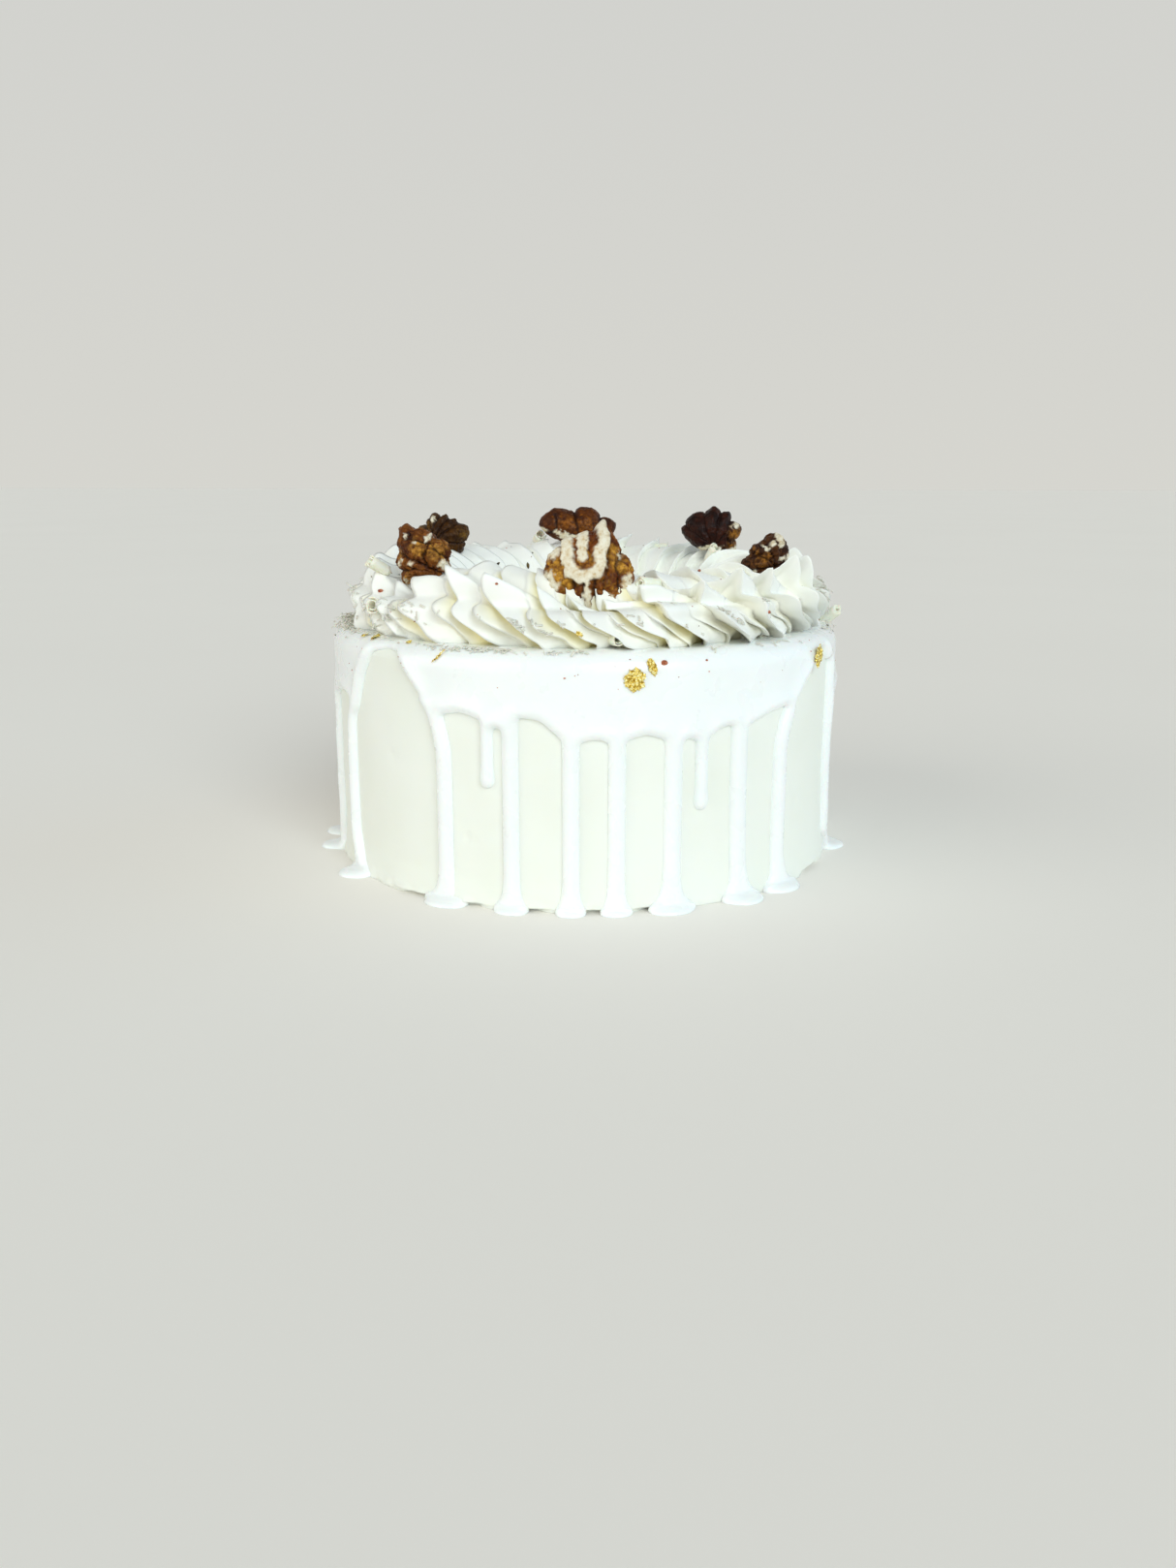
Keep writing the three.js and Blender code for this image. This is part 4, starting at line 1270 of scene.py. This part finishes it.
def make_walnut(row):
    direction, faces = sphere_points(6)
    base = kernel_shape(direction, row)
    x, z, warp = kernel_plane(base, row)
    height, crease = kernel_folds(base, x, z, warp, row)
    rough = 0.09 * noise_at(base, 1.6, row["seed"] + 6, 2)
    in_front = smooth_step(-direction[:, 1], -0.1, 0.1)
    flesh = spots(x + rough, z + rough, row["pale"]) * in_front
    if row["name"] == "walnut_front":
        raised = membrane(x + 0.6 * rough, z) * in_front
        flesh = np.maximum(flesh, raised)
        height = height * (1 - raised) + MEMBRANE_RISE * raised
    outward = direction / np.array(row["size"])
    outward /= np.linalg.norm(outward, axis=1)[:, None]
    made = new_object(row["name"] + "_kernel", base + outward * height[:, None], faces)
    # Painted shade in the creases, as the crease attribute.
    set_attribute(made, "crease", crease)
    set_attribute(made, "flesh", flesh)
    set_attribute(made, "amber", spots(x + 3 * rough, z - 3 * rough, row["amber"], 0.12))
    turn = Euler([math.radians(a) for a in row["turn"]], "XYZ").to_matrix().to_4x4()
    middle = around(row["azimuth"], row["radius"], row["z"]) * MM
    made.data.transform(Matrix.Translation(Vector(middle)) @ turn)
    tones = [linear(*tone) for tone in row["tones"]]
    material = walnut_material(row["name"] + "_skin", *tones)
    return finished(made, material, [row["name"]])


# ---- Curls, gratings, crumbs and gold leaf ----
class Heap:
    """Many small closed bodies that become one mesh."""

    def __init__(self):
        self.points = []
        self.faces = []

    def add(self, points, faces):
        used = sorted({i for face in faces for i in face})
        number = {i: len(self.points) + k for k, i in enumerate(used)}
        self.points += [tuple(points[i]) for i in used]
        self.faces += [tuple(number[i] for i in face) for face in faces]

    def add_sheet(self, lengthwise, crosswise, wall, point):
        """A thin sheet. point(s, t, lift) is its point at s and t, lifted off its middle."""
        grids = [
            np.array([point(s, t, lift) for s in lengthwise for t in crosswise])
            for lift in (wall, -wall)
        ]
        self.add(*closed_sheet(*grids, sheet_quads(len(lengthwise), len(crosswise))))

    def make(self, name, material, smooth=True):
        made = new_object(name, np.array(self.points), self.faces, smooth)
        return finished(made, material)


def closed_sheet(top, bottom, quads):
    """The faces of a thin body between two equal grids, with walls round its edge."""
    count = len(top)
    faces = [tuple(q) for q in quads] + [tuple(count + i for i in q[::-1]) for q in quads]
    edges = {(a, b) for q in quads for a, b in zip(q, q[1:] + q[:1])}
    faces += [(b, a, a + count, b + count) for a, b in sorted(edges) if (b, a) not in edges]
    return np.concatenate([top, bottom]), faces


def sheet_quads(columns, rows, kept=None):
    quads = []
    for i in range(columns - 1):
        for j in range(rows - 1):
            a = i * rows + j
            quad = (a, a + rows, a + rows + 1, a + 1)
            if kept is None or all(kept[k] for k in quad):
                quads.append(quad)
    return quads


def surface_tree(pieces):
    """A search tree over pieces, with its points in millimetres."""
    points, faces = [], []
    for made in pieces:
        start = len(points)
        points += [v.co / MM for v in made.data.vertices]
        faces += [[start + i for i in face.vertices] for face in made.data.polygons]
    return BVHTree.FromPolygons(points, faces)


FAR_ABOVE = 200
FAR_OUT = 150


def landed(tree, azimuth, radius=None, z=None):
    """Where something lies on the cake: seen from above, or from outside at a height."""
    if z is None:
        start, way = around(azimuth, radius, FAR_ABOVE), Vector((0, 0, -1))
    else:
        start, way = around(azimuth, FAR_OUT, z), Vector(-around(azimuth, 1, 0))
    place, normal, *_ = tree.ray_cast(Vector(start), way)
    return place, normal


def axes_on(normal, spin):
    """Two directions along a surface and its normal, turned by spin degrees round it."""
    side = Vector((0, 0, 1)).cross(normal)
    if side.length < 0.2:
        side = Vector((1, 0, 0))
    side = (side - side.dot(normal) * normal).normalized()
    side = Matrix.Rotation(math.radians(spin), 3, normal) @ side
    return np.array(side), np.array(normal.cross(side)), np.array(normal)


# Each curl: azimuth, radius, height of its middle, length, outer radius, way of its bore. The last
# one stands on the glaze's edge, and the others lie on the ring.
CURLS = [
    (-56, 95.5, 105, 9, 3.1, (-0.3, -0.95, 0.25)),
    (197, 75, 126, 9, 2.5, (0.25, -1, 0.3)),
    (18, 75, 115.5, 9, 2.4, (-0.8, -0.6, 0.1)),
    (6, 95.8, 98, 8, 2.1, (0.3, -0.95, 0.1)),
    (153, 76, 121.1, 9, 2.3, (0.95, 0.1, 0.1)),
    (118, 64, 120.8, 8, 2.6, (0.3, -0.6, 0.7)),
    (-64.5, 89, 119.4, 9, 2.4, (-0.7, -0.6, 0.5)),
    (90, 103.8, 96.9, 10, 2.3, (0.5, -0.6, 0.6)),
]


def add_curl(heap, middle, length, outer, bore, number):
    """A scroll: a strip of thin sheet rolled up a little more than once."""
    turns, slices = 40, 7
    along = Vector(bore).normalized()
    side = along.orthogonal().normalized()
    up = along.cross(side)
    end = (2.6 + draw(number)) * math.pi
    angles = np.linspace(0, end, turns)
    radii = np.linspace(outer * 0.42, outer, turns)

    def point(i, share, lift):
        angle = angles[i]
        ragged = 0.5 + 0.05 * np.sin(3 * angle + number)
        spread = radii[i] * (1 + 0.07 * share) + lift
        offset = float(math.cos(angle) * spread) * side + float(math.sin(angle) * spread) * up
        return np.array(Vector(middle) + (offset + float(share * ragged * length) * along))

    heap.add_sheet(range(turns), np.linspace(-1, 1, slices), 0.25, point)


def make_curls(material):
    heap = Heap()
    for number, (azimuth, radius, z, length, outer, bore) in enumerate(CURLS):
        add_curl(heap, around(azimuth, radius, z), length, outer, bore, number)
    return heap.make("chocolate_curls", material)


# Heaps of gratings: azimuth, its spread, radius, its spread, count and height of the heap.
GRATINGS = [
    (-82, 13, 99, 3.2, 170, 3.5), (-50, 14, 98.5, 2.0, 60, 1.0), (82, 9, 99, 3.0, 90, 2.4),
    (-15, 18, 101.3, 0.9, 120, 0.3), (30, 20, 101, 1.2, 40, 0.3), (150, 60, 97, 4.0, 60, 0.6),
    (230, 30, 97, 4.0, 50, 0.8),
]


def add_grating(heap, rng, place, normal, heaped):
    u, v, n = axes_on(normal, rng.uniform(0, 360))
    length, width = rng.uniform(1.0, 3.4), rng.uniform(0.35, 0.8)
    tilt, curve = rng.uniform(-0.4, 0.6), rng.uniform(0.3, 1.2)

    def point(s, t, lift):
        rise = 0.3 + heaped + lift + tilt * s * length - curve * (s * s - 0.25)
        return np.array(place) + s * length * u + t * width * v + rise * n

    heap.add_sheet(np.linspace(-0.5, 0.5, 6), (-0.5, 0.0, 0.5), 0.12, point)


def make_gratings(tree, material):
    heap = Heap()
    rng = np.random.default_rng(4)
    for azimuth, spread, radius, reach, count, height in GRATINGS:
        for _ in range(count):
            off = rng.normal(size=2) * 0.6
            place, normal = landed(tree, azimuth + spread * off[0], radius + reach * off[1])
            heaped = max(0, 1 - abs(off[0])) * rng.uniform(0, height)
            add_grating(heap, rng, place, normal, heaped)
    return heap.make("chocolate_gratings", material)


# Crumbs that show singly: azimuth, radius or None, height or None, size.
CRUMBS = [
    (15.1, None, 90.8, 1.3), (41.8, None, 105.7, 0.9), (-19.3, None, 116.9, 0.6),
    (45, 62, None, 0.7), (56, 70, None, 0.9), (30, 78, None, 0.6), (-24, 80, None, 0.7),
    (24, None, 91, 0.5), (-4, None, 86, 0.4), (-62, 90, None, 1.1), (33, None, 104, 0.7),
    (68, None, 100, 0.6),
]
LOOSE_CRUMBS, SIDE_CRUMBS = 70, 26
LEDGE, RING_SPAN = (96, 102), (54, 92)  # the radii of the bare ledge and of the ring
LEDGE_SHARE = 0.45  # of the loose crumbs


def add_lump(heap, place, size, seed):
    points, faces = sphere_points(2)
    points = points * (1 + 0.35 * noise_at(points, 0.7, seed)[:, None])
    heap.add(np.array(place) + points * size * [1, 1, 0.7], faces)


def make_crumbs(tree, material):
    heap = Heap()
    rng = np.random.default_rng(9)
    places = list(CRUMBS)
    for _ in range(LOOSE_CRUMBS):
        radii = LEDGE if rng.uniform() < LEDGE_SHARE else RING_SPAN
        row = (rng.uniform(-180, 180), rng.uniform(*radii), None, rng.uniform(0.18, 0.42))
        places.append(row)
    for _ in range(SIDE_CRUMBS):
        places.append((rng.uniform(-70, 80), None, rng.uniform(80, 94), rng.uniform(0.15, 0.32)))
    for number, (azimuth, radius, z, size) in enumerate(places):
        place, _ = landed(tree, azimuth, radius, z)
        add_lump(heap, place, size, number)
    return heap.make("crumbs", material)


# Dark flecks: azimuth, radius, length.
FLECKS = [
    (209.4, 53, 3.0), (228.7, 52, 2.4), (206, 56, 2.2), (172, 80, 2.6), (168, 82, 2.0),
    (73, 84, 1.4), (59, 84, 1.2), (-92, 90, 2.4), (-96, 96, 2.0), (80, 101, 1.6),
    (78, 103, 1.2), (-28, 79, 1.6),
]
LOOSE_FLECKS = 34


def add_fleck(heap, rng, place, normal, length):
    u, v, n = axes_on(normal, rng.uniform(0, 360))
    steps = np.linspace(-0.5, 0.5, 5)

    def point(s, t, lift):
        half = 0.22 * length * (1 - 3 * s * s)
        rise = 0.25 + lift + 0.5 * length * s * rng.uniform(0.2, 0.3)
        return np.array(place) + s * length * u + t * half * v + rise * n

    heap.add_sheet(steps, (-1, 0, 1), 0.08, point)


def make_flecks(tree, material):
    heap = Heap()
    rng = np.random.default_rng(3)
    places = list(FLECKS)
    for _ in range(LOOSE_FLECKS):
        places.append((rng.uniform(-180, 180), rng.uniform(56, 101), rng.uniform(0.4, 0.9)))
    for azimuth, radius, length in places:
        add_fleck(heap, rng, *landed(tree, azimuth, radius), length)
    return heap.make("dark_flecks", material)


# Gold leaf: azimuth, radius or None, height or None, width, length, spin.
GOLD = [
    (9.2, None, 85.4, 9.5, 10.5, 10), (12.6, None, 89.6, 3.6, 8.5, 20),
    (56, None, 87.5, 8, 10.5, -8), (-30, None, 91.5, 1.4, 8.5, -40),
    (-52, 100, None, 4.5, 6.5, 70), (-40, 100, None, 2.5, 3.5, 30),
    (-1.4, 99.5, None, 2.5, 3.5, 60), (-56, 101, None, 2.5, 4, 10), (57, None, 81, 1.5, 3, 20),
]


LEAF_CELLS = 26


def make_gold(tree, material):
    heap = Heap()
    steps = np.linspace(-0.5, 0.5, LEAF_CELLS)
    s, t = (grid.reshape(-1) for grid in np.meshgrid(steps, steps, indexing="ij"))
    for number, (azimuth, radius, z, width, length, spin) in enumerate(GOLD):
        place, normal = landed(tree, azimuth, radius, z)
        u, v, n = axes_on(normal, spin)
        flat = np.stack([s * width, t * length, 0 * s], axis=1)
        angle = np.arctan2(t, s)
        ring = np.stack([np.cos(angle), np.sin(angle), 0 * s], axis=1)
        rag = 0.42 + 0.12 * noise_at(ring, 0.45, number, 2)
        kept = np.hypot(s, t) < rag
        creased = 1 - np.abs(noise_at(flat, 2.2, number + 0.3, 3)) * 2
        rise = 0.25 + 0.75 * np.clip(creased, 0, 1) + 0.3 * noise_at(flat, 5, number + 0.6)
        shift = 0.3 * noise_at(flat, 1.5, number + 0.9)
        top = np.array(place) + np.outer(s * width + shift, u) + np.outer(t * length, v)
        top = top + np.outer(rise, n)
        quads = sheet_quads(LEAF_CELLS, LEAF_CELLS, kept)
        heap.add(*closed_sheet(top, top - 0.12 * n, quads))
    return heap.make("gold_leaf_flakes", material, False)


# ---- Floor and light ----
FLOOR_HALF = 20000
# The backdrop: even near the horizon and a little darker overhead, as (height, colour).
BACKDROP = [
    (0.0, (0.672, 0.668, 0.625)),
    (0.33, (0.645, 0.648, 0.62)),
    (0.65, (0.38, 0.385, 0.37)),
]
# Lamps: name, azimuth, elevation, strength, width in degrees, colour.
LAMPS = [
    ("key_softbox", 22, 28, 1.4, 35, (0.87, 0.975, 1.0)),
    ("side_softbox", -58, 20, 0.7, 50, (1.0, 0.99, 0.92)),
    ("right_fill", 95, 18, 0.3, 50, (0.2, 0.62, 1.0)),
]


def make_floor():
    corners = FLOOR_HALF * np.array([(-1, -1, 0), (1, -1, 0), (1, 1, 0), (-1, 1, 0)])
    floor = new_object("floor", corners, [(0, 1, 2, 3)], False)
    floor.data.materials.append(floor_material())


def make_lamp(name, azimuth, elevation, strength, width, colour):
    data = bpy.data.lights.new(name, "SUN")
    data.energy = strength
    data.angle = math.radians(width)
    data.color = colour
    a, e = math.radians(azimuth), math.radians(elevation)
    towards = Vector((math.sin(a) * math.cos(e), -math.cos(a) * math.cos(e), math.sin(e)))
    add_object(name, data).rotation_euler = towards.to_track_quat("Z", "Y").to_euler()


def make_light():
    world = bpy.data.worlds.new("studio")
    world.use_nodes = True
    tree = world.node_tree
    height = tree.nodes.new("ShaderNodeSeparateXYZ")
    texture = tree.nodes.new("ShaderNodeTexCoord")
    tree.links.new(texture.outputs["Generated"], height.inputs["Vector"])
    backdrop = colour_ramp(tree, height.outputs["Z"], BACKDROP)
    tree.links.new(backdrop, tree.nodes["Background"].inputs["Color"])
    bpy.context.scene.world = world
    for lamp in LAMPS:
        make_lamp(*lamp)
    bpy.context.scene.view_settings.view_transform = "Standard"


make_light()
make_floor()
make_body(buttercream_material())
glaze = make_glaze(glaze_material())
ring = make_ring(piping_material())
for walnut_row in WALNUTS:
    make_walnut(walnut_row)

cake = surface_tree([glaze, ring])
make_curls(chocolate_material())
make_gratings(cake, grating_material())
make_crumbs(cake, crumb_material())
make_flecks(cake, dark_fleck_material())
make_gold(cake, gold_material())
